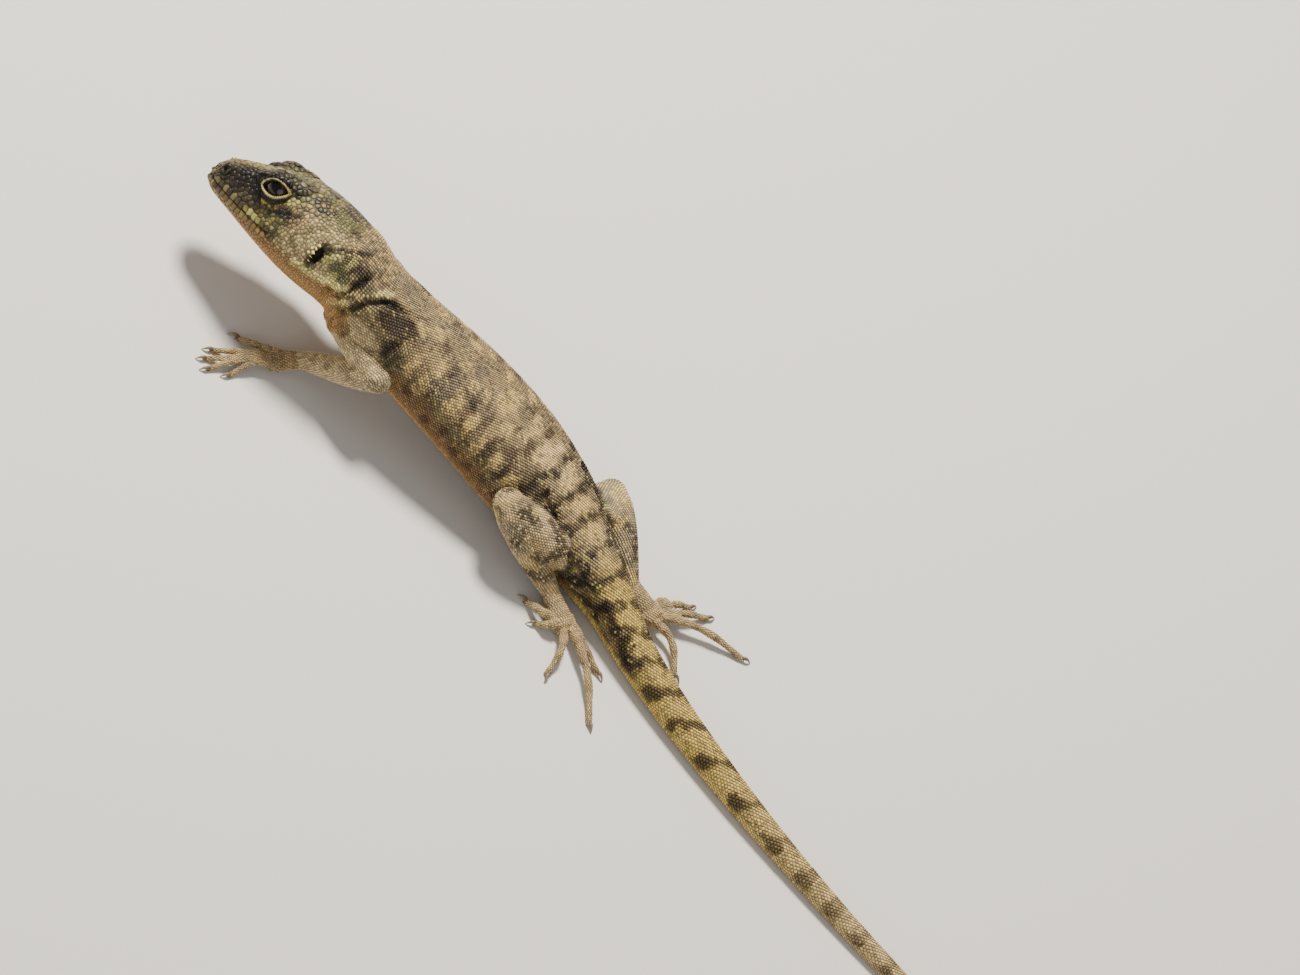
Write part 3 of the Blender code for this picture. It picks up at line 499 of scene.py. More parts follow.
# Neck and head marks on one side: places ahead of the ears and up, reach, colour, strength
SIDE_MARKS = (
    # Painted shade: the first line lays black over and round the ear opening
    (((-0.0005, 0.0026), (0.0000, 0.0010), (0.0004, -0.0010)), 0.00110, BLACK, 0.85),
    (((-0.0029, 0.0010), (-0.0054, 0.0003)), 0.00100, GREEN_GREY, 0.85),
    (((-0.0058, 0.0024), (-0.0072, 0.0032), (-0.0088, 0.0030), (-0.0082, 0.0013)), 0.00095,
     DARK, 0.85),
    (((0.0030, -0.0026), (0.0008, -0.0022), (-0.0016, -0.0023)), 0.00052, GREEN_CREAM, 0.9),
    (((-0.0013, 0.0007), (-0.0018, 0.0019), (-0.0024, 0.0028)), 0.00062, GREEN_CREAM, 0.75),
    (((-0.0050, 0.0026), (-0.0051, 0.0036)), 0.00058, GREEN_CREAM, 0.75),
    (((-0.0023, -0.0018), (-0.0047, -0.0015), (-0.0070, -0.0008)), 0.00066, CREAM, 0.85),
    (((-0.0036, -0.0010), (-0.0040, 0.0000)), 0.00048, GREEN_CREAM, 0.7),
    (((-0.0072, -0.0014), (-0.0080, 0.0002), (-0.0088, 0.0020)), 0.00040, BLACK, 0.9),
    (((-0.0019, 0.0036), (-0.0024, 0.0040)), 0.00040, BLACK, 0.8),
    (((-0.0032, 0.0043), (-0.0038, 0.0047)), 0.00042, BLACK, 0.8),
    (((-0.0047, 0.0051), (-0.0066, 0.0057)), 0.00038, BLACK, 0.8),
    (((-0.0059, -0.0043), (-0.0064, -0.0038)), 0.00055, TAN, 0.8),
    (((-0.0078, -0.0030), (-0.0084, -0.0026)), 0.00058, CREAM, 0.8),
    (((-0.0093, -0.0008), (-0.0098, 0.0000)), 0.00055, TAN, 0.8),
    (((-0.0118, 0.0016), (-0.0130, 0.0020)), 0.00060, CREAM, 0.7),
    (((0.0222, 0.0010), (0.0196, 0.0018), (0.0165, 0.0024), (0.0146, 0.0032)), 0.00225,
     BLACK, 0.92),
    (((0.0182, 0.0034), (0.0160, 0.0046), (0.0150, 0.0028)), 0.00130, BLACK, 0.85),
    (((0.0166, 0.0046), (0.0140, 0.0066), (0.0110, 0.0072), (0.0086, 0.0070)), 0.00085,
     BLACK, 0.82),
    (((0.0150, 0.0022), (0.0128, 0.0010), (0.0104, 0.0024)), 0.00075, BLACK, 0.75),
    (((0.0230, -0.0010), (0.0190, -0.0010), (0.0150, -0.0006)), 0.00085, DARK, 0.75),
    (((0.0196, 0.0002), (0.0160, 0.0004), (0.0132, 0.0006)), 0.00100, DARK, 0.70),
    (((0.0130, -0.0010), (0.0112, -0.0006), (0.0092, -0.0004)), 0.00055, GREEN_CREAM, 0.5),
    (((0.0080, -0.0002), (0.0072, 0.0003)), 0.00055, GREEN_CREAM, 0.45),
    (((0.0136, -0.0012), (0.0130, -0.0011)), 0.00045, GREEN_WHITE, 0.6),
    (((0.0110, 0.0016), (0.0096, 0.0024), (0.0082, 0.0031)), 0.00068, BLACK, 0.92),
    (((0.0082, 0.0031), (0.0064, 0.0040)), 0.00046, BLACK, 0.8),
    (((0.0092, 0.0046), (0.0078, 0.0058)), 0.00050, GREEN_CREAM, 0.45),
    (((0.0070, 0.0052), (0.0062, 0.0056)), 0.00050, BLACK, 0.6),
    (((0.0058, 0.0068), (0.0050, 0.0070)), 0.00055, BLACK, 0.5),
)
# Black lines in the first two folds: number of the fold, reach
FOLD_MARKS = ((0, 0.00052), (1, 0.00064))


def unit(vector):
    vector = np.asarray(vector, float)
    return vector / np.linalg.norm(vector)


def unit_rows(vectors):
    return vectors / np.maximum(np.linalg.norm(vectors, axis=1, keepdims=True), 1e-12)


def across_normals(lies, normals):
    """Directions laid flat on the surface, and how far each stood up from it."""
    standing = np.sum(lies * normals, axis=1, keepdims=True)
    return unit_rows(lies - normals * standing), standing[:, 0]


def step_up(values, low, high):
    """Smooth rise from 0 at low to 1 at high."""
    share = np.clip((values - low) / (high - low), 0, 1)
    return share * share * (3 - 2 * share)


def bell(gap, half_width):
    return np.exp(-(gap / half_width) ** 2)


def between(start, start_slope, end, end_slope, t):
    """Smooth way from a start to an end that leaves and arrives at the given slopes."""
    return (start * (1 + 2 * t) * (1 - t) ** 2 + start_slope * t * (1 - t) ** 2
            + end * t * t * (3 - 2 * t) + end_slope * t * t * (t - 1))


def smooth_row(rows, x):
    """Values of a smooth curve through the rows, whose first column is x."""
    table = np.array(rows, float)
    knots = table[:, 0]
    values = table[:, 1:]
    slopes = np.gradient(values, knots, axis=0)
    low = int(np.clip(np.searchsorted(knots, x) - 1, 0, len(knots) - 2))
    width = knots[low + 1] - knots[low]
    return between(values[low], slopes[low] * width, values[low + 1],
                   slopes[low + 1] * width, (x - knots[low]) / width)


def read_rows(x, knots, rows):
    """Each column of the rows, read at x between the knots."""
    return np.stack([np.interp(x, knots, column) for column in np.transpose(rows)], axis=-1)


def running_lengths(line):
    """Length along a line of points, or of sections, from the first to each."""
    steps = np.linalg.norm(np.diff(line, axis=0), axis=-1)
    return np.concatenate(([0], np.cumsum(steps.reshape(len(steps), -1).mean(axis=1))))


def path_distance(points, path):
    """Distance of each point to a line of points."""
    best = np.full(len(points), np.inf)
    for start, end in zip(path, path[1:]):
        along = end - start
        share = np.clip((points - start) @ along / max(along @ along, 1e-18), 0, 1)
        gap = np.linalg.norm(points - start - share[:, None] * along, axis=1)
        best = np.minimum(best, gap)
    return best


def noise(points, size, seed):
    """Smooth random values from -1 to 1 over space, with lumps of the given size."""
    table = np.random.default_rng(seed).uniform(-1, 1, (NOISE_CELLS,) * 3)
    scaled = points / size + NOISE_OFFSET
    base = np.floor(scaled).astype(int)
    part = scaled - base
    part = part * part * (3 - 2 * part)
    total = np.zeros(len(points))
    for corner in range(8):
        step = np.array((corner & 1, corner >> 1 & 1, corner >> 2 & 1))
        weight = np.prod(np.where(step, part, 1 - part), axis=1)
        index = (base + step) % NOISE_CELLS
        total += weight * table[index[:, 0], index[:, 1], index[:, 2]]
    return total


def lumps(places, size, seed, low, high):
    """Soft patches over space, from 0 between them to 1 in them."""
    return step_up(noise(places, size, seed), low, high)


def wander(places, reach, size, seed):
    """Soft drift over space, up to a reach each way."""
    return reach * noise(places, size, seed)


def rounded_ring(centre, right, up, half_width, rise, drop, power):
    """One rounded section, counted from the top over the left side."""
    angles = np.pi / 2 + 2 * np.pi * np.arange(BODY_SIDES) / BODY_SIDES
    across = np.sign(np.cos(angles)) * np.abs(np.cos(angles)) ** (2 / power)
    high = np.sign(np.sin(angles)) * np.abs(np.sin(angles)) ** (2 / power)
    reach = np.where(high > 0, rise, drop)
    return (centre + right * (half_width * across)[:, None]
            + up * (reach * high)[:, None])


def leaned_axes(backward, lean):
    """Right and up directions across a line that runs backward, leaned by an angle."""
    level = unit(np.cross(UP, backward))
    upright = np.cross(backward, level)
    angle = math.radians(lean)
    right = level * math.cos(angle) - upright * math.sin(angle)
    return right, upright * math.cos(angle) + level * math.sin(angle)


def axis_middle(x):
    """Middle, half width, half height and lean of the trunk or tail at x."""
    if x <= TRUNK_STATIONS[-1][0]:
        y, z, half_width, half_height, lean = smooth_row(TRUNK_STATIONS, x)
        return np.array((x, y, z)), half_width, half_height, lean
    y, half_width, half_height = smooth_row(TAIL_STATIONS, x)
    return np.array((x, y, half_height - FLOOR_DIP)), half_width, half_height, TAIL_LEAN


def axis_ring(x):
    """Section of the trunk or tail at x, inside the scales."""
    centre, half_width, half_height, lean = axis_middle(x)
    along = unit(axis_middle(x + AXIS_STEP)[0] - axis_middle(x - AXIS_STEP)[0])
    right, up = leaned_axes(along, lean)
    high = half_height - COAT_DEPTH
    return rounded_ring(centre, right, up, half_width - COAT_DEPTH, high, high, TRUNK_POWER)


def head_axes():
    """Origin, forward, right and up directions of the head's frame."""
    pitch = math.radians(HEAD_PITCH_DOWN)
    turn = math.radians(HEAD_TURN_LEFT)
    forward = np.array((-math.cos(pitch) * math.cos(turn),
                        -math.cos(pitch) * math.sin(turn), -math.sin(pitch)))
    return np.array(HEAD_ORIGIN), forward, *leaned_axes(-forward, HEAD_LEAN)


HEAD_ZERO, HEAD_FORWARD, HEAD_RIGHT, HEAD_UP = head_axes()
HEAD_FRAME = np.array((HEAD_FORWARD, -HEAD_RIGHT, HEAD_UP))


def head_point(place, side=1):
    """Places in the head's frame, on the left or mirrored, moved to the design frame."""
    return HEAD_ZERO + (np.asarray(place, float) * (1, side, 1)) @ HEAD_FRAME


def in_head(points):
    """Points of the design frame, given in the head's frame."""
    return (points - HEAD_ZERO) @ HEAD_FRAME.T


def head_ring(x):
    """Section of the head at x in its own frame."""
    half_width, top, under, level = smooth_row(HEAD_STATIONS, x)
    centre = HEAD_ZERO + HEAD_FORWARD * x + HEAD_UP * level
    return rounded_ring(centre, HEAD_RIGHT, HEAD_UP, half_width - COAT_DEPTH,
                        top - level - COAT_DEPTH, level - under - COAT_DEPTH, HEAD_POWER)


def head_side(x, z):
    """How far the head's side stands from its middle plane at x and height z."""
    half_width, top, under, level = smooth_row(HEAD_STATIONS, x)
    reach = top - level if z > level else level - under
    share = min(abs(z - level) / reach, 0.98)
    return half_width * (1 - share ** HEAD_POWER) ** (1 / HEAD_POWER)


def neck_rings():
    """Sections from the back of the head to the first section of the trunk."""
    first_x = TRUNK_STATIONS[0][0]
    start = head_ring(HEAD_BACK)
    end = axis_ring(first_x)
    length = np.linalg.norm(end.mean(axis=0) - start.mean(axis=0))
    leaving = unit(axis_middle(first_x + AXIS_STEP)[0] - axis_middle(first_x)[0])
    return [between(start, -HEAD_FORWARD * length, end, leaving * length, t)
            for t in np.linspace(0, 1, NECK_STEPS + 1)]


def body_rings():
    """Sections from inside the head over neck and trunk to the tip of the tail."""
    rings = neck_rings()
    rings.insert(0, rings[0] + HEAD_FORWARD * HEAD_INSIDE)
    x = TRUNK_STATIONS[0][0] + BODY_RING_STEP
    while x < TAIL_STATIONS[-1][0]:
        rings.append(axis_ring(x))
        x += BODY_RING_STEP
    rings = np.array(rings)
    for _ in range(EVENING_ROUNDS):
        before = np.roll(rings, 1, axis=0)
        after = np.roll(rings, -1, axis=0)
        rings[EVENED_RINGS] = ((before + 2 * rings + after) / 4)[EVENED_RINGS]
    return rings


def head_rings():
    """Sections of the head from inside the neck to the snout."""
    length = HEAD_STATIONS[-1][0] - HEAD_BACK
    rings = [head_ring(HEAD_BACK + length * math.sin(angle))
             for angle in np.linspace(0, math.pi / 2, HEAD_RINGS)]
    middle = rings[0].mean(axis=0)
    inner = middle + (rings[0] - middle) * INNER_RING_SHARE
    return np.array([inner - HEAD_FORWARD * HEAD_INSIDE] + rings)


def ball(centre, axes, sizes, segments=40, rings=24):
    """Sections of an ellipsoid."""
    turns = 2 * np.pi * np.arange(segments) / segments
    stack = []
    for level in np.linspace(-np.pi / 2 + POLE_GAP, np.pi / 2 - POLE_GAP, rings):
        flat = np.cos(level)
        stack.append(centre + np.outer(flat * np.cos(turns), axes[0]) * sizes[0]
                     + np.outer(flat * np.sin(turns), axes[1]) * sizes[1]
                     + axes[2] * (np.sin(level) * sizes[2]))
    return np.array(stack)


def brow_ball(side):
    slope = math.radians(BROW_SLOPE)
    ahead = HEAD_FORWARD * math.cos(slope) - HEAD_UP * math.sin(slope)
    axes = (ahead, HEAD_RIGHT, np.cross(HEAD_RIGHT, ahead))
    return ball(head_point(BROW_CENTRE, side), axes, np.array(BROW_HALF_SIZE) - COAT_DEPTH)


def eye_centre(side):
    return head_point(EYE_CENTRE, side)


def eye_axes(side):
    """Outward, long and short axes of one eye opening."""
    outward = unit((np.array(EYE_AIM) * (1, side, 1)) @ HEAD_FRAME)
    tilt = math.radians(LID_TILT)
    long_axis = HEAD_FORWARD * math.cos(tilt) + HEAD_UP * math.sin(tilt)
    long_axis = unit(long_axis - outward * np.dot(long_axis, outward))
    return outward, long_axis, np.cross(outward, long_axis)


def mouth_path():
    """Points on the head's side along the mouth line, from the left corner round."""
    left = []
    for x in np.linspace(MOUTH_STATIONS[0][0], MOUTH_STATIONS[-1][0], MOUTH_STEPS):
        z = smooth_row(MOUTH_STATIONS, x)[0]
        left.append((x, head_side(x, z), z))
    tip_x, tip_half_width = HEAD_STATIONS[-1][:2]
    left.append((tip_x, tip_half_width, MOUTH_STATIONS[-1][1]))
    return np.concatenate((head_point(left), head_point(left[::-1], -1)))


def tube_rings(points, radii, sides, flat_axis=None, flatten=1.0):
    """Sections of a tube through the points, with a radius at each of them."""
    angles = 2 * np.pi * np.arange(sides) / sides
    rings = []
    side = None
    for index, point in enumerate(points):
        before = points[max(index - 1, 0)]
        after = points[min(index + 1, len(points) - 1)]
        along = unit(after - before)
        if flat_axis is not None:
            side = unit(np.cross(flat_axis, along))
        elif side is None:
            side = unit(np.cross((0.3, 0.0, 1.0), along))
        else:
            side = unit(side - along * np.dot(side, along))
        thick = np.cross(along, side)
        rings.append(point + side * (radii[index] * np.cos(angles))[:, None]
                     + thick * (radii[index] * flatten * np.sin(angles))[:, None])
    return np.array(rings)


def round_end(end, outward, radius):
    """Points and radii that round off a tube beyond its end."""
    points = [end + outward * (radius * math.sin(turn)) for turn in ROUND_END_TURNS]
    return points, [radius * math.cos(turn) for turn in ROUND_END_TURNS]


def limb_rings(start, end, start_radius, end_radius, swell):
    """Sections of one length of a limb, with rounded ends."""
    start = np.array(start)
    end = np.array(end)
    start_radius -= COAT_DEPTH
    end_radius -= COAT_DEPTH
    along = unit(end - start)
    shares = np.linspace(0, 1, LIMB_STEPS)
    first, first_radii = round_end(start, -along, start_radius)
    last, last_radii = round_end(end, along, end_radius)
    middle_radii = (start_radius + (end_radius - start_radius) * shares
                    + swell * np.sin(np.pi * shares ** SWELL_PLACE))
    points = first[::-1] + [start + (end - start) * share for share in shares] + last
    radii = [*first_radii[::-1], *middle_radii, *last_radii]
    return tube_rings(points, radii, LIMB_SIDES, UP, LIMB_FLATTEN)


def digit_path(base, tip, radius):
    """Points and radii of a digit, and the points of its claw."""
    bow = tip[2]
    tip = np.array((tip[0], tip[1], CLAW_TIP_RADIUS))
    level = unit((tip - base) * np.array((1, 1, 0)))
    end = tip - level * CLAW_LENGTH
    end[2] = radius * (1 - DIGIT_TAPER) - FLOOR_DIP
    sideways = np.cross(UP, level)
    points = []
    radii = []
    for share in np.linspace(0, 1, DIGIT_STEPS):
        bend = math.sin(math.pi * share)
        points.append(base + (end - base) * share + (sideways * bow + UP * DIGIT_ARCH) * bend)
        knuckle = 1 + KNUCKLE_SWELL * math.cos(2 * math.pi * KNUCKLE_WAVES * share)
        radii.append((radius * (1 - DIGIT_TAPER * share) - COAT_DEPTH) * knuckle)
    last, last_radii = round_end(end, unit(points[-1] - points[-2]), radii[-1])
    arch = CLAW_LENGTH * CLAW_ARCH
    claw = [end + (tip - end) * share
            + UP * (arch * math.sin(math.pi * share ** CLAW_ARCH_PLACE))
            for share in np.linspace(0, 1, CLAW_STEPS)]
    return points + last, radii + last_radii, claw


def paw_shells(joint, palm_end, tips, widths, thickness, radius, end_radius):
    """Sections of the palm or sole and of its digits, and the claws' points."""
    joint = np.array(joint)
    palm_end = np.array(palm_end)
    along = unit(palm_end - joint)
    across = unit(np.cross(UP, along))
    shares = np.linspace(0, 1, PALM_STEPS)
    points = [joint - along * end_radius]
    points += [joint + (palm_end - joint) * share for share in shares]
    points.append(palm_end + along * thickness)
    radii = [PALM_START_SHARE * end_radius,
             *(widths[0] + (widths[1] - widths[0]) * shares - COAT_DEPTH),
             PALM_FRONT_SHARE * widths[1]]
    palm = tube_rings(points, radii, LIMB_SIDES, UP, thickness / widths[0] * PALM_FLATTEN)
    spread = widths[1] - radius * DIGIT_SPREAD_INSET
    order = [np.dot(np.array(tip[:2]) - palm_end[:2], across[:2]) for tip in tips]
    turn = 1 if order[0] < order[-1] else -1
    shallow, deeper = DIGIT_ROOT_DEPTH
    digits = []
    claws = []
    for index, tip in enumerate(tips):
        from_middle = index - len(tips) // 2
        base = palm_end + across * (turn * spread * from_middle / 2)
        base = base - along * (radius * (shallow + deeper * abs(from_middle)))
        path, sizes, claw = digit_path(base, tip, radius)
        digits.append(tube_rings(path, sizes, DIGIT_SIDES))
        claws.append(claw)
    return palm, digits, claws


def limb_shells(name):
    """All shells of one limb by kind, and its claws."""
    (root, middle, end), palm_end, tips = LIMBS[name]
    radii, swells, widths, thickness, digit_radius = LIMB_SIZES[name.split("_")[1]]
    palm, digits, claws = paw_shells(end, palm_end, tips, widths, thickness, digit_radius,
                                     radii[2])
    shells = [("upper", limb_rings(root, middle, radii[0], radii[1], swells[0])),
              ("lower", limb_rings(middle, end, radii[1], radii[2], swells[1])),
              ("palm", palm)]
    return shells + [("digit", rings) for rings in digits], claws


def ring_at(rings, level):
    """Closed section at a level between the rings, and the way to the next one."""
    low = int(min(level, len(rings) - 2))
    ring = rings[low] * (1 - level + low) + rings[low + 1] * (level - low)
    onward = rings[low + 1] - rings[low]
    return np.vstack((ring, ring[:1])), np.vstack((onward, onward[:1]))


class Body:
    """Stack of sections of neck, trunk and tail, read by a station and an angle."""

    def __init__(self):
        self.rings = body_rings()
        first = TRUNK_STATIONS[0][0]
        neck = np.linspace(NECK_START, first, NECK_STEPS + 1)
        behind = first + BODY_RING_STEP * np.arange(1, len(self.rings) - NECK_STEPS - 1)
        self.stations = np.concatenate(([NECK_START - HEAD_INSIDE], neck, behind))
        self.reach = running_lengths(self.rings)
        self.reach = self.reach / self.reach[-1]

    def point(self, station, angle):
        """Place on the side at a station and an angle, from the top over the left."""
        around, _ = ring_at(self.rings, np.interp(station, self.stations,
                                                  np.arange(len(self.rings))))
        lengths = running_lengths(around)
        return read_rows((angle % 360) / 360 * lengths[-1], lengths, around)

    def station_at(self, share):
        """Station at a share of the body's length."""
        return np.interp(share, self.reach, self.stations)

    def pitch_at(self, share):
        """Width of the body's scales at a share of its length."""
        return np.interp(self.station_at(share), SCALE_STATIONS, SCALE_WIDTHS)


BODY = Body()


def surface_path(places, side):
    """Points on the body's side along a line of stations and angles."""
    fine = np.linspace(0, len(places) - 1, (len(places) - 1) * FOLD_STEPS + 1)
    line = read_rows(fine, np.arange(len(places)), places)
    return np.array([BODY.point(station, angle * side) for station, angle in line])


def ring_mesh(rings, capped=True):
    """Corner points and faces through equal rings, capped or joined end to start."""
    count, sides = rings.shape[:2]
    faces = []
    for row in range(count - 1 if capped else count):
        onward = (row + 1) % count
        for index in range(sides):
            after = (index + 1) % sides
            faces.append((row * sides + index, row * sides + after,
                          onward * sides + after, onward * sides + index))
    if capped:
        faces.append(tuple(range(sides))[::-1])
        faces.append(tuple((count - 1) * sides + index for index in range(sides)))
    return rings.reshape(-1, 3), faces


def joined_shells(shells):
    """Corner points and faces of many shells as one."""
    points = []
    faces = []
    offset = 0
    for rings in shells:
        shell_points, shell_faces = ring_mesh(rings)
        points.append(shell_points)
        faces += [tuple(index + offset for index in face) for face in shell_faces]
        offset += len(shell_points)
    return np.concatenate(points), faces


def make_mesh(name, points, faces):
    mesh = bpy.data.meshes.new(name)
    mesh.from_pydata(np.asarray(points).tolist(), [], faces)
    mesh.update()
    return mesh


def triangle_mesh(name, points, faces):
    """Mesh of triangles from arrays."""
    mesh = bpy.data.meshes.new(name)
    mesh.vertices.add(len(points))
    mesh.vertices.foreach_set("co", points.astype(np.float32).ravel())
    mesh.loops.add(len(faces) * 3)
    mesh.loops.foreach_set("vertex_index", faces.astype(np.int32).ravel())
    mesh.polygons.add(len(faces))
    mesh.polygons.foreach_set("loop_start", np.arange(0, len(faces) * 3, 3, dtype=np.int32))
    mesh.update(calc_edges=True)
    return mesh


def add_object(name, data):
    thing = bpy.data.objects.new(name, data)
    bpy.context.scene.collection.objects.link(thing)
    return thing


def mesh_rows(items, field, width, kind=np.float32):
    """A field of a mesh's items, one row for each item."""
    values = np.empty(len(items) * width, kind)
    items.foreach_get(field, values)
    return values.reshape(-1, width)


def move_points(mesh, points):
    mesh.vertices.foreach_set("co", points.astype(np.float32).ravel())
    mesh.update()


def find_shift():
    """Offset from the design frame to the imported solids, read off the left eye."""
    low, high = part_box("eye_left")
    return (np.array(low) + np.array(high)) / 2 - eye_centre(1)


SHIFT = find_shift()


def settle(points):
    """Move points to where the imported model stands, none under the floor."""
    moved = points + SHIFT
    moved[:, 2] = np.maximum(moved[:, 2], FLOOR_CLEARANCE)
    return moved


def add_piece(name, mesh, colours, look):
    """A piece that carries its colours and rides on the model."""
    layer = mesh.color_attributes.new("marking", "FLOAT_COLOR", "POINT")
    rows = np.concatenate((colours, np.ones((len(colours), 1))), axis=1)
    layer.data.foreach_set("color", rows.astype(np.float32).ravel())
    mesh.materials.append(look)
    mesh.shade_smooth()
    piece = add_object(name, mesh)
    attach(piece, "root")
    return piece


def neighbour_mean(points, edges):
    """Mean of each point's neighbours."""
    count = len(points)
    near = np.concatenate((edges[:, 0], edges[:, 1]))
    far = np.concatenate((edges[:, 1], edges[:, 0]))
    share = np.maximum(np.bincount(near, minlength=count), 1)[:, None]
    total = np.stack([np.bincount(near, weights=points[far, axis], minlength=count)
                      for axis in range(3)], axis=1)
    return total / share


def voxel_skin(shells):
    """One closed mesh of many overlapping shells."""
    rough = add_object("rough_skin", make_mesh("rough_skin", *joined_shells(shells)))
    remesh = rough.modifiers.new("voxels", "REMESH")
    remesh.mode = "VOXEL"
    remesh.voxel_size = VOXEL
    thinner = rough.modifiers.new("thinner", "DECIMATE")
    thinner.ratio = SKIN_FACE_SHARE
    bpy.context.view_layer.update()
    depsgraph = bpy.context.evaluated_depsgraph_get()
    mesh = bpy.data.meshes.new_from_object(rough.evaluated_get(depsgraph))
    bpy.data.objects.remove(rough)
    return mesh


def ear_away(local):
    """Distance of head places from the ear's middle, beside its size."""
    x, _, z = EAR_PLACE
    return np.hypot((local[:, 0] - x) / EAR_SIZE[0], (local[:, 2] - z) / EAR_SIZE[1])


def ear_share(local, side):
    """How deep places lie in the ear opening, from 0 outside to 1."""
    edge, steepness = EAR_EDGE
    return (local[:, 1] * side > EAR_SIDE) / (1 + np.exp((ear_away(local) - edge) * steepness))


def nostril_away(local, side):
    """Distance of head places from the nostril's middle, beside its size."""
    return np.linalg.norm(local - np.array(NOSTRIL_PLACE) * (1, side, 1), axis=1) / NOSTRIL_SIZE


def in_holes(local):
    """How far places are inside an ear or a nostril, from 0 to 1."""
    amount = np.zeros(len(local))
    for side in SIDES:
        amount = np.maximum(amount, step_up(ear_share(local, side), 0.2, 0.6))
        amount = np.maximum(amount, 1 - step_up(nostril_away(local, side), 0.9, 1.5))
    return amount


def opening_share(points, side):
    """Place of points beside the almond eye opening: under 1 is inside it."""
    outward, long_axis, short_axis = eye_axes(side)
    away = points - eye_centre(side)
    along = away @ long_axis / LID_OPENING[0]
    across = away @ short_axis / LID_OPENING[1]
    narrowing = 1 - LID_POINTING * np.minimum(np.abs(along), 1.4) ** 2
    return np.where(away @ outward > LID_FRONT, np.hypot(along, across / narrowing), np.inf)


def open_lids(points, side):
    """Push the skin inside the opening back behind the eyeball."""
    centre = eye_centre(side)
    share = opening_share(points, side)
    inside = share < 1
    depth = np.interp(share[inside], SOCKET_SHARES, SOCKET_DEPTHS)
    points[inside] = centre + unit_rows(points[inside] - centre) * depth[:, None]
    return points


def sculpt(points, normals):
    """Folds, ridges, mouth line, lips, ears, nostrils and eye openings of the skin."""
    def lifted(height):
        return points + normals * height[:, None]

    for places, half_width, depth in FOLDS:
        for side in SIDES:
            gap = path_distance(points, surface_path(places, side))
            rim = FOLD_RIM_SHARE * depth * bell(gap - FOLD_RIM_AWAY * half_width,
                                                FOLD_RIM_WIDTH * half_width)
            points = lifted(rim - depth * bell(gap, half_width))
    local = in_head(points)
    for line, half_width, height in RIDGES:
        for side in SIDES:
            gap = path_distance(local, np.array(line) * (1, side, 1))
            points = lifted(height * bell(gap, half_width))
    gap = path_distance(points, mouth_path())
    depth, half_width = MOUTH_GROOVE
    points = lifted(-depth * bell(gap, half_width))
    height, half_width = LIP_SWELL
    points = lifted(height * bell(gap - LIP_GAP, half_width))
    for side in SIDES:
        points = lifted(-EAR_DEPTH * ear_share(local, side))
        away = nostril_away(local, side)
        edge, steepness = NOSTRIL_EDGE
        points = lifted(-NOSTRIL_DEPTH / (1 + np.exp((away - edge) * steepness)))
        rim, half_width = NOSTRIL_RIM_AWAY
        points = lifted(NOSTRIL_RIM * bell(away - rim, half_width))
        points = open_lids(points, side)
    return points


def make_skin(shells):
    """Mesh, points, normals and search tree of the sculpted skin."""
    mesh = voxel_skin(shells)
    points = mesh_rows(mesh.vertices, "co", 3).astype(float)
    edges = mesh_rows(mesh.edges, "vertices", 2, np.int32)
    for _ in range(SMOOTH_ROUNDS):
        for strength in SMOOTH_STEPS:
            points = points + strength * (neighbour_mean(points, edges) - points)
    move_points(mesh, points)
    points = sculpt(points, mesh_rows(mesh.vertex_normals, "vector", 3).astype(float))
    move_points(mesh, points)
    normals = mesh_rows(mesh.vertex_normals, "vector", 3).astype(float)
    mesh.calc_loop_triangles()
    corners = mesh_rows(mesh.loop_triangles, "vertices", 3, np.int32)
    return mesh, points, normals, BVHTree.FromPolygons(points.tolist(), corners.tolist())


def layered(colours, *layers):
    """Colours with others laid over them in turn, each by an amount for each row."""
    for colour, amount in layers:
        amount = np.clip(amount, 0, 1)[:, None]
        colours = colours * (1 - amount) + colour * amount
    return colours


def speckled(places, strength, size, seed):
    """Unevenness of a mark's edge: soft lumps, and a little from scale to scale."""
    grain = RANDOM.uniform(-0.5, 0.5, len(places))
    return strength * (noise(places, size, seed) + grain)


def spot_amount(flat, marks, warp):
    """How much any of the squarish marks covers each place, with an uneven edge."""
    amount = np.zeros(len(flat))
    for station, angle, half_length, half_width in marks:
        along = np.abs(flat[:, 0] - station) / half_length
        across = np.abs(flat[:, 1] - angle * DEGREE_LENGTH) / half_width
        away = np.cbrt(along ** 3 + across ** 3)
        amount = np.maximum(amount, 1 - step_up(away + warp, *SPOT_EDGE))
    return amount


def oval_away(stations, side_angle, oval):
    """Distance from the middle of an oval mark, beside its size."""
    station, angle, half_length, half_width = oval
    return np.hypot((stations - station) / half_length,
                    (side_angle - angle) * DEGREE_LENGTH / half_width)


def side_marks(places, local):
    """Layers of the marks of the head's and neck's sides."""
    warp = wander(places, *WANDER_LINES)
    on_side = step_up(np.abs(local[:, 1]), *OFF_MIDDLE)
    layers = []
    for line, reach, colour, strength in SIDE_MARKS:
        gap = path_distance(local[:, (0, 2)], np.array(line)) / reach + warp
        layers.append((colour, strength * on_side * (1 - step_up(gap, *LINE_EDGE))))
    return layers


def fold_marks(places, side_angle):
    """Layers of the black lines in the folds before the shoulder."""
    on_flank = step_up(side_angle, *FOLD_TOP) * (1 - step_up(side_angle, *FOLD_BOTTOM))
    warp = wander(places, *WANDER_FOLDS)
    layers = []
    for number, reach in FOLD_MARKS:
        for side in SIDES:
            gap = path_distance(places, surface_path(FOLDS[number][0], side)) / reach + warp
            layers.append((BLACK, (1 - step_up(gap, *FOLD_EDGE)) * on_flank * FOLD_DARKNESS))
    return layers


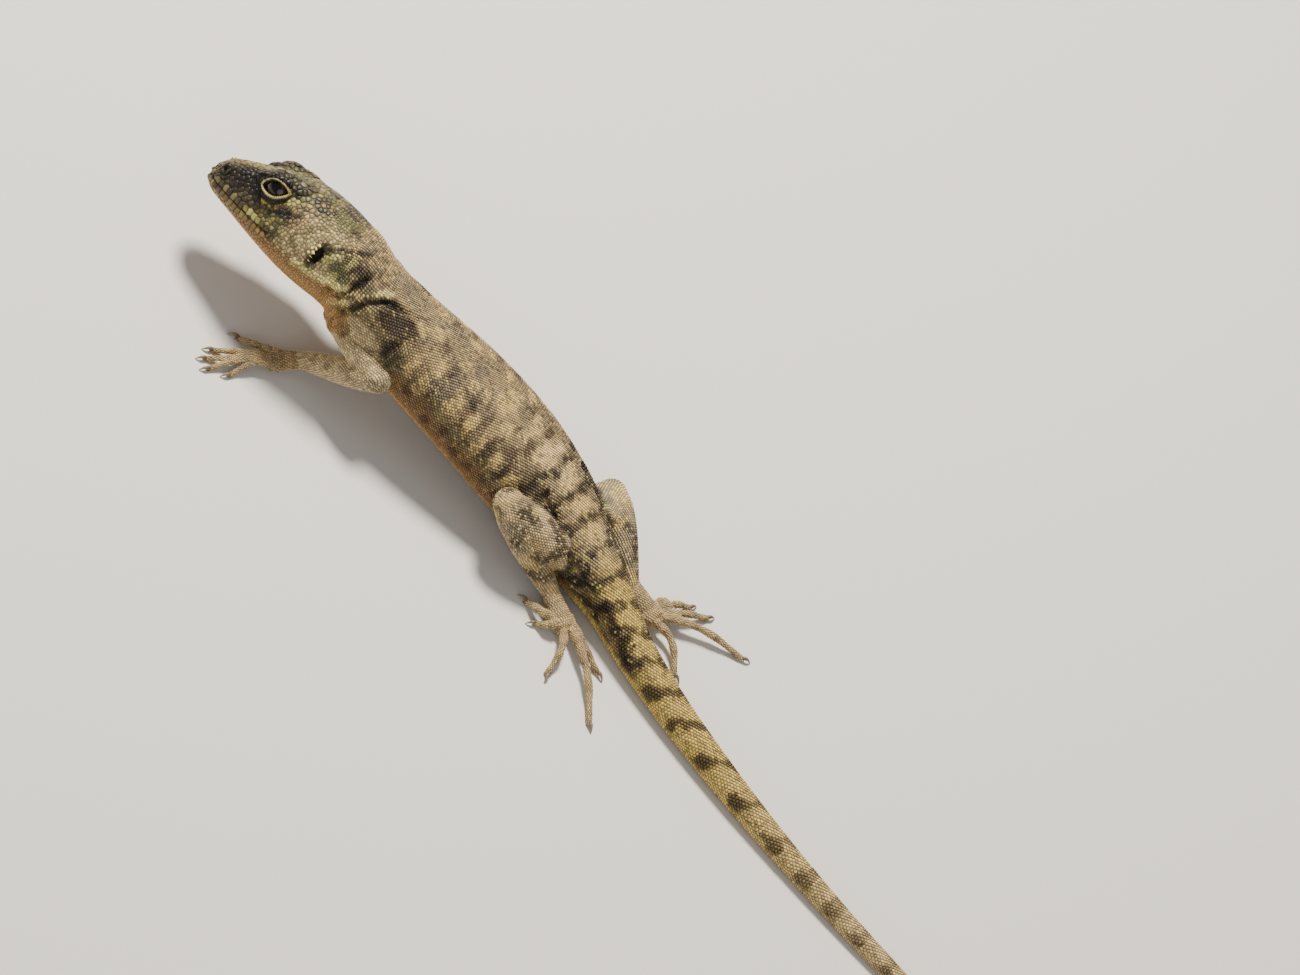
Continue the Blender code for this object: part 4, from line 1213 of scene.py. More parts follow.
def trunk_marking(places, stations, side_angle, chance):
    """Colours of the trunk: grey, with light and dark marks and a paler belly."""
    flat = np.stack((stations, side_angle * DEGREE_LENGTH), axis=1)
    flat[:, 0] += wander(places, *WANDER_ALONG)
    flat[:, 1] += wander(places, *WANDER_ACROSS)
    warp = speckled(places, 0.50, 0.0014, 7)
    light = spot_amount(flat, LIGHT_MARKS, warp)
    dark = spot_amount(flat, DARK_MARKS, warp)
    flank = step_up(side_angle, *FLANK)
    on_back = 1 - step_up(side_angle, *BACK)
    rear = step_up(stations, *REAR)
    light_colour = layered(TAN, (PINK_TAN, on_back * step_up(stations, *PINK_BACK)),
                           (KHAKI, step_up(stations, *KHAKI_BACK) * 0.55))
    covered = np.where(chance < 0.66 + 0.2 * rear, 0.78 + 0.10 * rear, 0.2)
    at_shoulder = 1 - step_up(np.abs(stations - SHOULDER_STATION), *SHOULDER_REACH)
    lower = side_angle - SHOULDER_DROP * at_shoulder
    low = step_up(lower + 6 * noise(places, 0.003, 8), *LOW_FLANK)
    return layered(
        GREY,
        (LILAC_GREY, 0.55 + 0.6 * noise(places, 0.005, 1)),
        (SLATE, lumps(places, 0.0026, 2, -0.1, 0.6) * 0.45),
        (DARK, flank * lumps(places, 0.0017, 26, -0.1, 0.6) * 0.55),
        (OLIVE, step_up(side_angle, *OLIVE_FLANK) * 0.45),
        (light_colour, light * covered),
        (DARK, dark * np.where(chance < 0.90, 0.62, 0.25)),
        (BAR, dark * rear * (chance < 0.97) * 0.70),
        (TAN, (chance > 0.86) * (0.35 + 0.5 * light) * (1 - dark)),
        (DARK, (chance < 0.10) * 0.6),
        (BROWN, low * 0.40),
        (OCHRE, low * np.where(chance < 0.75, 0.62, 0.25)),
        (BROWN, spot_amount(flat, FLANK_SPOTS, warp) * 0.8),
        (BELLY, step_up(lower, *BELLY_EDGE)))


def tail_marking(places, stations, angles, side_angle, chance):
    """Khaki saddles between dark bars, fading to grey along the tail."""
    fading = step_up(stations, *TAIL_FADE)
    pitch = SADDLE_PITCH + (TAIL_PITCH - SADDLE_PITCH) * step_up(stations, *PITCH_CHANGE)
    slant = BAR_SLANT * np.clip(((angles + 180) % 360 - 180) / 60, -1, 1) * (1 - fading)
    shifted = stations + SADDLE_START + slant + wander(places, *WANDER_BARS)
    wave = -np.cos(2 * np.pi * shifted / pitch)
    near_side = step_up(side_angle, *TAIL_SIDE)
    ragged = speckled(places, 0.35, 0.0010, 20) + 0.25 * (1 - near_side)
    bars = step_up(wave, 0.25 + ragged, 0.65 + ragged) * (1 - 0.45 * fading)
    dark_row = step_up(wave, -0.30, 0.4) * near_side * (1 - step_up(side_angle, *TAIL_ROW_END))
    fine_lines = step_up(np.cos(2 * np.pi * stations / TAIL_ROW_PITCH), 0.4, 0.9)
    return layered(
        KHAKI,
        (ARM_GREY, 0.10 + 0.60 * fading),
        (BAR, bars * (1 - step_up(side_angle, *TAIL_BAR_END)) * 0.82),
        (BAR, dark_row * 0.40),
        (DARK, fine_lines * (chance < 0.5) * 0.35),
        (DARK, (chance > 0.92) * 0.5),
        (BELLY, step_up(side_angle, *TAIL_BELLY) * 0.9))


def hip_layers(places, stations, side_angle, chance):
    """Layers of the hips' black sides, which reach up between the saddles."""
    reach = step_up(stations, *HIPS_START) * (1 - step_up(stations, *HIPS_END))
    off_saddle = -np.cos(2 * np.pi * (stations + SADDLE_START) / SADDLE_PITCH)
    edge = (HIP_EDGE - HIP_RISE * step_up(off_saddle, 0.30, 0.95)
            + speckled(places, HIP_RAGGED, 0.0010, 3))
    band = step_up(side_angle, edge - 4, edge + 5) * (1 - step_up(side_angle, *HIP_BOTTOM))
    amount = reach * band
    return ((DARK, amount * 0.72),
            (BLACK, amount * lumps(places, 0.0012, 10, -0.1, 0.3) * 0.75),
            (LILAC_GREY, amount * lumps(places, 0.0013, 24, 0.15, 0.5) * 0.4),
            (GREEN_CREAM, amount * (chance > 0.91) * 0.45),
            (GREEN_WHITE, amount * (chance > 0.975) * 0.6))


def neck_marking(places, side_angle, chance):
    """Ground colours of the neck, before its marks."""
    return layered(
        GREY,
        (LILAC_GREY, 0.70 + 0.5 * noise(places, 0.004, 13)),
        (SLATE, lumps(places, 0.0018, 19, -0.2, 0.5) * 0.65),
        (OLIVE, step_up(side_angle, *NECK_OLIVE) * 0.6),
        (TAN, (chance > 0.70) * 0.6),
        (DARK, (chance < 0.14) * 0.6),
        (OCHRE, step_up(side_angle, *NECK_OCHRE) * 0.7),
        (BELLY, step_up(side_angle, *NECK_BELLY)))


def shoulder_layers(places, stations, side_angle, chance):
    """Layers of the dark shoulder patch, its yellow-green flecks and the arm's root."""
    away = oval_away(stations, side_angle, SHOULDER_PATCH) + 0.3 * noise(places, 0.0016, 9)
    patch = 1 - step_up(away, 0.75, 1.15)
    # Painted shade in the armpit, under the upper arm
    pit = 1 - step_up(oval_away(stations, side_angle, ARM_PIT), 0.6, 1.2)
    away = oval_away(stations, side_angle, ARM_ROOT) + speckled(places, 0.25, 0.0012, 25)
    root = 1 - step_up(away, 0.7, 1.2)
    return ((DARK, patch * 0.85), (GREEN_CREAM, patch * (chance > 0.87) * 0.5),
            (DARK, pit * 0.75), (ARM_GREY, root * 0.60), (BEAD, root * (chance > 0.72) * 0.5))


def body_marking(places, stations, angles):
    """Colours of neck, trunk and tail at their stations and angles."""
    side_angle = np.abs((angles + 180) % 360 - 180)
    chance = RANDOM.uniform(0, 1, len(places))
    trunk = trunk_marking(places, stations, side_angle, chance)
    tail = tail_marking(places, stations, angles, side_angle, chance)
    hips = hip_layers(places, stations, side_angle, chance)
    neck = neck_marking(places, side_angle, chance)
    shoulder = shoulder_layers(places, stations, side_angle, chance)
    return layered(trunk, (tail, step_up(stations, *TAIL_START)), *hips,
                   (neck, 1 - step_up(stations, *NECK_END)), *shoulder,
                   *side_marks(places, in_head(places)), *fold_marks(places, side_angle))


def arm_marking(places):
    """Colours of the arms: grey-olive with pale beads."""
    chance = RANDOM.uniform(0, 1, len(places))
    return layered(
        ARM_GREY,
        (OLIVE, 0.08 + 0.30 * noise(places, 0.003, 15)),
        (SLATE, lumps(places, 0.0020, 22, -0.1, 0.5) * 0.35),
        (DARK, lumps(places, 0.0014, 16, 0.15, 0.6) * 0.36),
        (BEAD, (chance > 0.70) * 0.55))


def leg_marking(places):
    """Colours of the legs: grey with pale flecks and dark blotches, greyer on the right."""
    chance = RANDOM.uniform(0, 1, len(places))
    return layered(
        ARM_GREY,
        (LILAC_GREY, 0.5 + 0.5 * noise(places, 0.003, 17)),
        (SLATE, (places[:, 1] > RIGHT_LEG_START) * 0.35),
        (SLATE, lumps(places, 0.0017, 23, -0.1, 0.5) * 0.60),
        (DARK, lumps(places, 0.0021, 11, 0.15, 0.45) * 0.78),
        (TAN, lumps(places, 0.0022, 18, 0.25, 0.6) * 0.6),
        (BEAD, (chance > 0.80) * 0.45))


def digit_marking(places, shares):
    """Colours of palms and digits: slender grey-brown with faint rings."""
    bands = step_up(np.cos(2 * np.pi * shares * DIGIT_BANDS), 0.2, 0.9)
    return layered(DIGIT_GREY, (DARK, bands * 0.24),
                   (SLATE, lumps(places, 0.0018, 12, -0.1, 0.5) * 0.34))


def eye_marks(places):
    """Layers of the dark outline of the eyes and the pale arc under them."""
    layers = []
    for side in SIDES:
        share = np.minimum(opening_share(places, side), 9.0)
        away = places - eye_centre(side)
        under = (away @ HEAD_UP < -EYE_ARC_BELOW) & (away @ HEAD_FORWARD < EYE_ARC_AHEAD)
        layers.append((KHAKI, (1 - step_up(np.abs(share - 2.20), 0.10, 0.28)) * under * 0.6))
        layers.append((BLACK, (1 - step_up(share, 1.70, 1.95)) * 0.85))
    return layers


def head_marking(places):
    """Colours of the head: olive, dark about the snout, grey-tan cheeks, tan jaws."""
    local = in_head(places)
    chance = RANDOM.uniform(0, 1, len(places))
    ahead = local[:, 0]
    high = local[:, 2]
    cheek = (1 - step_up(ahead, *CHEEK_FRONT)) * (1 - step_up(high, *CHEEK_TOP))
    above_snout = high - SNOUT_HEIGHT + SNOUT_SLOPE * (ahead - SNOUT_END)
    snout_top = step_up(above_snout, *SNOUT_EDGE) * step_up(ahead, *SNOUT_START)
    lips = (np.abs(high + LIP_LEVEL) < LIP_HALF_HEIGHT) & (ahead > LIP_START)
    return layered(
        OLIVE,
        (DARK, lumps(places, 0.0018, 21, -0.25, 0.30) * 0.80),
        (KHAKI, (chance > 0.72) * 0.24),
        (LILAC_GREY, cheek * 0.8),
        (BEAD, cheek * (chance > 0.62) * 0.38),
        (OLIVE, cheek * (chance < 0.15) * 0.7),
        (KHAKI, snout_top * 0.14),
        (OCHRE, step_up(-high - JAW_LEVEL, *JAW_EDGE) * 0.75),
        (BELLY, step_up(-high, *THROAT)),
        *side_marks(places, local),
        (GREEN_CREAM, lips * step_up(chance, 0.45, 0.95) * 0.28),
        *eye_marks(places))


class Coat:
    """Scales of one region: places, normals, lie, widths, unrolled places, colours."""

    def __init__(self, places, normals, lies, widths, unrolled, colours=None):
        self.places = places
        self.normals = normals
        self.lies = lies
        self.widths = widths
        self.unrolled = unrolled
        self.colours = np.zeros_like(places) if colours is None else colours

    def fields(self):
        return (self.places, self.normals, self.lies, self.widths, self.unrolled, self.colours)

    def keep(self, chosen):
        return Coat(*[field[chosen] for field in self.fields()])


def joined(parts):
    """One coat made of several."""
    return Coat(*[np.concatenate(rows) for rows in zip(*[part.fields() for part in parts])])


class Grid:
    """Places sorted into cells, each with the room that it needs."""

    def __init__(self, cell):
        self.cell = cell
        self.cells = {}

    def home(self, place):
        return tuple(np.floor(place / self.cell).astype(int))

    def add(self, place, room):
        self.cells.setdefault(self.home(place), []).append((place, room))

    def crowded(self, place, room):
        """True where one of the places is nearer than both their rooms."""
        a, b, c = self.home(place)
        for step in np.ndindex(3, 3, 3):
            cell = (a + step[0] - 1, b + step[1] - 1, c + step[2] - 1)
            for other, other_room in self.cells.get(cell, ()):
                gap = place - other
                if gap @ gap < (room + other_room) ** 2:
                    return True
        return False


def tree_of(places):
    """Search tree of places."""
    tree = KDTree(len(places))
    for index, place in enumerate(places):
        tree.insert(place, index)
    tree.balance()
    return tree


def nearest_in(tree, places):
    """Number and distance of the tree's nearest place, for each place."""
    _, numbers, gaps = zip(*[tree.find(place) for place in places])
    return np.array(numbers), np.array(gaps)


def on_skin(tree, places):
    """Nearest place on the skin, its normal and its distance, for each place."""
    spots, normals, _, gaps = zip(*[tree.find_nearest(place) for place in places])
    return np.array(spots), unit_rows(np.array(normals)), np.array(gaps)


def rows_of_scales(rings, pitch_at):
    """Places, lie, width and unrolled place of scales in staggered rows."""
    lengths = running_lengths(rings)
    rows = []
    along = 0.0
    while along < lengths[-1]:
        share = along / lengths[-1]
        around, onward = ring_at(rings, np.interp(along, lengths, np.arange(len(lengths))))
        reach = running_lengths(around)
        pitch = pitch_at(share)
        count = max(FEWEST_IN_A_ROW, int(round(reach[-1] / pitch)))
        shares = (np.arange(count) - count // 2 + 0.5 * (len(rows) % 2)) / count % 1
        spots = shares * reach[-1]
        rows.append((read_rows(spots, reach, around), read_rows(spots, reach, onward),
                     np.full(count, reach[-1] / count),
                     np.stack((np.full(count, share), shares), axis=1)))
        along += pitch * ROW_SHARE
    return [np.concatenate(parts) for parts in zip(*rows)]


def snapped(places, lies, widths, unrolled, tree):
    """Scales moved onto the skin, without those that lie inside another part."""
    spots, normals, gaps = on_skin(tree, places)
    fold_gap = np.min([path_distance(places, surface_path(line, side))
                       for line, _, _ in NECK_FOLDS for side in SIDES], axis=0)
    lies, standing = across_normals(unit_rows(lies), normals)
    near = gaps < SNAP_REACH + FOLD_EXTRA_REACH * (fold_gap < FOLD_ZONE)
    near &= np.abs(standing) < MOST_STANDING
    return Coat(spots, normals, lies, widths, unrolled).keep(near)


def apart(coat, others, share):
    """Scales of a coat that keep clear of those of other coats."""
    _, gaps = nearest_in(tree_of(joined(others).places), coat.places)
    return coat.keep(gaps > coat.widths * share)


def blended_at(coat, other):
    """Colours of a coat, passing into those of another where the two meet."""
    nearest, gaps = nearest_in(tree_of(other.places), coat.places)
    return layered(coat.colours, (other.colours[nearest], 1 - step_up(gaps, *BLEND_REACH)))


def fill_bare_places(points, normals, coats):
    """The coats, with scales added where the skin is bare, like their nearest ones."""
    whole = joined(coats)
    owners = np.repeat(np.arange(len(coats)), [len(coat.places) for coat in coats])
    nearest, gaps = nearest_in(tree_of(whole.places), points)
    rooms = FILL_SHARE * whole.widths[nearest]
    grid = Grid(BODY_SCALE)
    chosen = []
    for index in RANDOM.permutation(len(points)):
        if gaps[index] >= rooms[index] and not grid.crowded(points[index], rooms[index]):
            grid.add(points[index], 0.0)
            chosen.append(index)
    sources = nearest[chosen]
    added = whole.keep(sources)
    added.places = points[chosen]
    added.normals = normals[chosen]
    added.lies, _ = across_normals(added.lies, added.normals)
    added.widths = added.widths * FILL_WIDTH
    added.unrolled = added.unrolled + UV_PATCH / 2
    return [joined([coat, added.keep(owners[sources] == number)])
            for number, coat in enumerate(coats)]


def scale_arrays(coat):
    """All points, faces, unrolled places and colours of a coat of keeled scales."""
    count = len(coat.places)
    across = np.cross(coat.normals, coat.lies)
    jitter = 1 + RANDOM.uniform(-SIZE_JITTER, SIZE_JITTER, (count, 1, 1))
    shape = SCALE_POINTS[None] * jitter * coat.widths[:, None, None]
    points = (coat.places[:, None] + coat.lies[:, None] * shape[:, :, 0:1]
              + across[:, None] * shape[:, :, 1:2] + coat.normals[:, None] * shape[:, :, 2:3])
    faces = SCALE_FACES[None] + (np.arange(count) * len(SCALE_POINTS))[:, None, None]
    flat = coat.unrolled[:, None] + SCALE_POINTS[None, :, :2] * (UV_PATCH / SCALE_LENGTH)
    jitter = 1 + RANDOM.uniform(-SHADE_JITTER, SHADE_JITTER, (count, 1, 1))
    # Painted shade at each scale's root and edges and a painted highlight on its keel, times a
    # random tone for each scale
    colours = coat.colours[:, None] * (SCALE_PAINTED_LIGHT[None, :, None] * jitter)
    return (points.reshape(-1, 3), faces.reshape(-1, 3), flat.reshape(-1, 2),
            colours.reshape(-1, 3))


def write_coat(name, points, faces, flat, colours, look, slot):
    """One piece of the coat, with its map for baking."""
    mesh = triangle_mesh(name, settle(points), faces)
    layer = mesh.uv_layers.new(name="OFBake")
    flat = UV_MARGIN + (1 - 2 * UV_MARGIN) * flat
    layer.data.foreach_set("uv", flat[faces.ravel()].astype(np.float32).ravel())
    add_piece(name, mesh, colours, look)


def add_scales(name, coat, look, slot):
    """Keeled scales of one region, in as many pieces as their number asks for."""
    pieces = max(1, math.ceil(len(coat.places) / MOST_SCALES_IN_A_PIECE))
    order = np.argsort(coat.unrolled[:, 0], kind="stable")
    for index, chosen in enumerate(np.array_split(order, pieces)):
        label = f"{name}_{index + 1}" if pieces > 1 else name
        write_coat(label, *scale_arrays(coat.keep(chosen)), look, slot)


def head_sizes(local):
    """Width of the head's plates at places in its frame."""
    ahead, left, high = local.T
    sizes = PLATE_WIDTH + FRONT_GROWTH * step_up(ahead, *FRONT)
    sizes += TOP_GROWTH * step_up(high, *TOP) * step_up(ahead, *TOP_START)
    sizes += SNOUT_GROWTH * step_up(ahead, *SNOUT) * (1 - step_up(ahead, *SNOUT_TIP))
    sizes -= UNDER_LOSS * step_up(-high, *UNDER)
    for side in SIDES:
        away = np.linalg.norm(local - np.array(EYE_CENTRE) * (1, side, 1), axis=1)
        sizes -= EYE_LOSS * (1 - step_up(away, *ROUND_EYE)) * (left * side > EYE_SIDE)
    return sizes


def fixed_plates():
    """Plates in set places on the head: lips, snout, brows and crown, with widths."""
    plates = []
    path = in_head(mouth_path())
    lengths = running_lengths(path)
    for rise, width in LIP_PLATES:
        count = int(lengths[-1] / width / 2) * 2 + 1
        for spot in read_rows((np.arange(count) + 0.5) / count * lengths[-1], lengths, path):
            if spot[0] < LAST_LIP_PLATE:
                plates.append((spot + UP * rise, width))
    plates.append(CROWN_PLATE)
    for side in SIDES:
        for share in np.linspace(0, 1, BROW_PLATES):
            for (x, y, z), length, bow, width in (OUTER_BROW, INNER_BROW):
                out = y + bow * math.sin(BROW_TURN * share)
                plates.append(((x - length * share, side * out, z), width))
        plates += [((x, side * y, z), width) for (x, y, z), width in PAIRED_PLATES]
    return plates


def free_of_holes(places):
    """True where a place on the head is clear of its eyes, ears and nostrils."""
    local = in_head(places)
    clear = np.full(len(places), True)
    for side in SIDES:
        clear &= opening_share(places, side) > CLEAR_OF_EYE
        clear &= (ear_away(local) > CLEAR_OF_EAR) | (local[:, 1] * side < EAR_SIDE)
        clear &= nostril_away(local, side) > CLEAR_OF_NOSTRIL
    return clear


def scatter_plates(points, tree):
    """Places and widths of head plates: the fixed ones, then others between them."""
    ahead, left, high = in_head(points).T
    on_head = ((ahead > HEAD_BACK + PLATE_START) & (high > -HEAD_REACH)
               & (np.abs(left) < HEAD_REACH))
    candidates = points[RANDOM.permutation(np.flatnonzero(on_head))]
    spots, widths = zip(*fixed_plates())
    spots, _, _ = on_skin(tree, [head_point(spot) for spot in spots])
    clear = free_of_holes(spots)
    places = list(spots[clear])
    widths = list(np.array(widths)[clear])
    grid = Grid(PLATE_CELL)
    for place, width in zip(places, widths):
        grid.add(place, PLATE_ROOM * width)
    clear = free_of_holes(candidates)
    clear &= path_distance(candidates, mouth_path()) > MOUTH_GROOVE[1]
    candidates = candidates[clear]
    for place, width in zip(candidates, head_sizes(in_head(candidates))):
        room = PLATE_ROOM * width
        if not grid.crowded(place, room):
            grid.add(place, room)
            places.append(place)
            widths.append(width)
    return np.array(places), np.array(widths)


def head_unrolled(local):
    """Unrolled places of the head: along it and round it."""
    around = np.arctan2(local[:, 1], local[:, 2] + 0.0002) / (2 * np.pi) + 0.5
    along = (local[:, 0] - HEAD_BACK) / (HEAD_STATIONS[-1][0] - HEAD_BACK + 0.0005)
    return np.clip(np.stack((along, around), axis=1), 0, 1)


def clipped(polygon, normal, limit):
    """Part of a flat polygon whose reach along the normal is under the limit."""
    result = []
    reach = polygon @ normal - limit
    for index in range(len(polygon)):
        after = (index + 1) % len(polygon)
        if reach[index] <= 0:
            result.append(polygon[index])
        if (reach[index] < 0) != (reach[after] < 0):
            share = reach[index] / (reach[index] - reach[after])
            result.append(polygon[index] + (polygon[after] - polygon[index]) * share)
    return np.array(result) if result else polygon[:0]


def plate_outline(coat, index, tree, first, second):
    """Outline of one plate, cut off half way to each of its neighbours."""
    place = coat.places[index]
    normal = coat.normals[index]
    width = coat.widths[index]
    turns = 2 * np.pi * np.arange(PLATE_CORNERS) / PLATE_CORNERS
    polygon = np.stack((np.cos(turns), np.sin(turns)), axis=1) * width * PLATE_REACH
    for spot, other, _ in tree.find_n(place, PLATE_NEIGHBOURS):
        gap = np.array(spot) - place
        toward = np.array((gap @ first, gap @ second))
        length = np.linalg.norm(toward)
        facing = np.dot(coat.normals[other], normal)
        if other == index or length < NO_GAP or facing < MOST_TURNED_AWAY:
            continue
        limit = length * width / (width + coat.widths[other])
        polygon = clipped(polygon, toward / length, limit)
        if len(polygon) < 3:
            break
    return polygon


def plate_faces(corners, offset):
    """Faces of one plate with three rings of corners, a top and a bottom point."""
    faces = []
    top = offset + 3 * corners
    bottom = top + 1
    for corner in range(corners):
        after = (corner + 1) % corners
        for low in (offset, offset + corners):
            high = low + corners
            faces.append((low + corner, low + after, high + after))
            faces.append((low + corner, high + after, high + corner))
        high = offset + 2 * corners
        faces.append((high + corner, high + after, top))
        faces.append((offset + after, offset + corner, bottom))
    return faces


def plate_arrays(coat):
    """Low domed plates that fill the space between their neighbours."""
    tree = tree_of(coat.places)
    points = []
    faces = []
    flat = []
    colours = []
    offset = 0
    for index, (place, normal, _, width, unrolled, colour) in enumerate(zip(*coat.fields())):
        first = unit(np.cross(normal, (0.3, 0.5, 0.8)))
        second = np.cross(normal, first)
        polygon = plate_outline(coat, index, tree, first, second)
        corners = len(polygon)
        if corners < 3:
            continue
        middle = polygon.mean(axis=0)
        rise = PLATE_RISE * math.sqrt(width * PLATE_RISE_WIDTH)
        levels = ((PLATE_EDGE_SHARE, -PLATE_EDGE, corners),
                  (PLATE_SHOULDER[0], PLATE_SHOULDER[1] * rise, corners),
                  (PLATE_CROWN[0], PLATE_CROWN[1] * rise, corners),
                  (0.0, PLATE_TOP_SHARE * rise, 1), (0.0, -PLATE_BOTTOM, 1))
        for share, height, count in levels:
            ring = (middle + (polygon - middle) * share)[:count]
            points.append(place + ring[:, :1] * first + ring[:, 1:] * second + normal * height)
            flat.append(unrolled + ring / width * UV_PATCH * 0.5)
        faces += plate_faces(corners, offset)
        # Painted shade at the plate's edge and underside and a painted highlight on its top, times
        # a random tone for each plate
        plate_light = np.repeat(PLATE_PAINTED_LIGHT, [count for _, _, count in levels])
        colours.append(plate_light[:, None] * colour
                       * (1 + RANDOM.uniform(-PLATE_JITTER, PLATE_JITTER)))
        offset += 3 * corners + 2
    return (np.concatenate(points), np.array(faces), np.concatenate(flat),
            np.concatenate(colours))


def ear_fringe(tree):
    """Pale pointed scales that stand over the front of each ear opening."""
    places = [head_point((x, FRINGE_SIDE, z), side) for side in SIDES for x, z, _ in EAR_FRINGE]
    spots, normals, _ = on_skin(tree, places)
    widths = np.tile([width for _, _, width in EAR_FRINGE], len(SIDES))
    return Coat(spots, normals, unit_rows(FRINGE_LIFT * normals - HEAD_FORWARD), widths,
                head_unrolled(in_head(spots)), np.tile(CREAM, (len(spots), 1)))


def principled(name, roughness):
    """A material, its shader and its node tree."""
    look = bpy.data.materials.new(name)
    look.use_nodes = True
    shader = look.node_tree.nodes["Principled BSDF"]
    shader.inputs["Roughness"].default_value = roughness
    return look, shader, look.node_tree


def add_node(tree, kind, **values):
    """A node with some of its inputs set, named with _ for a blank."""
    node = tree.nodes.new(kind)
    for name, value in values.items():
        node.inputs[name.replace("_", " ")].default_value = value
    return node


def skin_look(name):
    """Skin, scales, eye or claw that carries the marking, with fine uneven colour."""
    roughness, brightness, fineness, bump_strength, gloss = LOOKS[name]
    look, shader, tree = principled(name, roughness)
    shader.inputs["Specular IOR Level"].default_value = gloss
    marking = tree.nodes.new("ShaderNodeAttribute")
    marking.attribute_name = "marking"
    coordinates = tree.nodes.new("ShaderNodeTexCoord")
    grain = add_node(tree, "ShaderNodeTexNoise", Scale=fineness, Detail=GRAIN_DETAIL)
    # For the skin this brightness is lowered as painted shade in the gaps between the scales
    shade = add_node(tree, "ShaderNodeMapRange", To_Min=brightness * GRAIN_SHADES[0],
                     To_Max=brightness * GRAIN_SHADES[1])
    unevenness = add_node(tree, "ShaderNodeMapRange", To_Min=roughness - GRAIN_GLOSS,
                          To_Max=roughness + GRAIN_GLOSS)
    scaled = tree.nodes.new("ShaderNodeVectorMath")
    scaled.operation = "SCALE"
    bump = add_node(tree, "ShaderNodeBump", Strength=bump_strength, Distance=BUMP_DEPTH)
    for start, socket, end, target in (
            (coordinates, "Object", grain, "Vector"), (grain, "Fac", shade, "Value"),
            (marking, "Color", scaled, "Vector"), (shade, "Result", scaled, "Scale"),
            (scaled, "Vector", shader, "Base Color"), (grain, "Fac", unevenness, "Value"),
            (unevenness, "Result", shader, "Roughness"), (grain, "Fac", bump, "Height"),
            (bump, "Normal", shader, "Normal")):
        tree.links.new(start.outputs[socket], end.inputs[target])
    return look


def eye_look():
    """Eye that carries the marking under a clear wet coating."""
    look = skin_look("eye")
    shader = look.node_tree.nodes["Principled BSDF"]
    for name, value in EYE_COATING.items():
        shader.inputs[name].default_value = value
    return look


def make_eye(name, side, look):
    """Eyeball with a dark pupil and a brown iris."""
    outward, long_axis, short_axis = eye_axes(side)
    centre = eye_centre(side)
    axes = (long_axis, short_axis, outward)
    points, faces = ring_mesh(ball(centre, axes, (EYE_RADIUS,) * 3, EYE_SEGMENTS, EYE_RINGS))
    away = unit_rows(points - centre)
    angle = np.degrees(np.arccos(np.clip(away @ outward, -1, 1)))
    iris = step_up(angle, *IRIS_START)
    colours = layered(
        PUPIL,
        (IRIS, iris * (0.45 + 0.55 * step_up(away @ -long_axis, 0.05, 0.5))),
        (IRIS_EDGE, iris * (1 - step_up(angle, *IRIS_EDGE_END)) * 0.8),
        (EYE_SHADE, step_up(angle, *SHADE_START)))
    return add_piece(name, make_mesh(name, settle(points), faces), colours, look)


def lid_rim(name, side, look):
    """Pale beaded edge of the lids round the opening, widest behind and below."""
    outward, long_axis, short_axis = eye_axes(side)
    centre = eye_centre(side)
    down = -1 if short_axis @ HEAD_UP > 0 else 1
    angles = 2 * np.pi * np.arange(RIM_SIDES) / RIM_SIDES
    all_round, below, behind = RIM_WIDTHS
    rings = []
    for turn in 2 * np.pi * np.arange(RIM_STEPS) / RIM_STEPS:
        along = math.cos(turn)
        across = math.sin(turn) * (1 - LID_POINTING * along * along)
        low = max(0.0, down * math.sin(turn))
        rear = max(0.0, -along)
        bead = math.cos(turn * RIM_BEADS)
        share = all_round + below * low + behind * rear ** 2
        wide = RIM_WIDTH * share * (1 + BEAD_WIDTH * bead)
        high = RIM_HEIGHT * (1 + BEAD_HEIGHT * bead)
        flat = (long_axis * (RIM_REACH * LID_OPENING[0] * along)
                + short_axis * (RIM_REACH * LID_OPENING[1] * across))
        lift = math.sqrt(max(LID_RADIUS ** 2 - flat @ flat, 0)) - RIM_SINK
        away = unit(flat + outward * lift)
        sideways = unit(flat)
        sideways = unit(sideways - away * (sideways @ away))
        rings.append(centre + flat + outward * lift + np.outer(np.cos(angles), sideways) * wide
                     + np.outer(np.sin(angles), away) * high)
    points, faces = ring_mesh(np.array(rings), capped=False)
    colours = layered(LID_CREAM, (OLIVE, 0.5 + 0.5 * noise(points, 0.0006, 33)))
    add_piece(name, make_mesh(name, settle(points), faces), colours, look)


def make_claws(name, claws, look):
    """The claws of one paw."""
    shares = np.linspace(0, 1, CLAW_STEPS)
    radii = CLAW_RADIUS + (CLAW_TIP_RADIUS - CLAW_RADIUS) * shares ** CLAW_TAPER
    radii = np.insert(radii, 0, radii[0])
    points, faces = joined_shells([
        tube_rings([claw[0] * 2 - claw[1]] + claw, radii, CLAW_SIDES) for claw in claws])
    rows = np.tile(np.repeat(np.insert(shares, 0, 0), CLAW_SIDES), len(claws))
    colours = layered(CLAW_ROOT, (CLAW_TIP, rows))
    add_piece(name, make_mesh(name, settle(points), faces), colours, look)


def cover_body(tree):
    """Coat of neck, trunk and tail."""
    coat = snapped(*rows_of_scales(BODY.rings, BODY.pitch_at), tree)
    coat = coat.keep(in_head(coat.places)[:, 0] < HEAD_BACK + BODY_OVERLAP)
    along, around = coat.unrolled.T
    coat.colours = body_marking(coat.places, BODY.station_at(along), around * 360)
    return coat


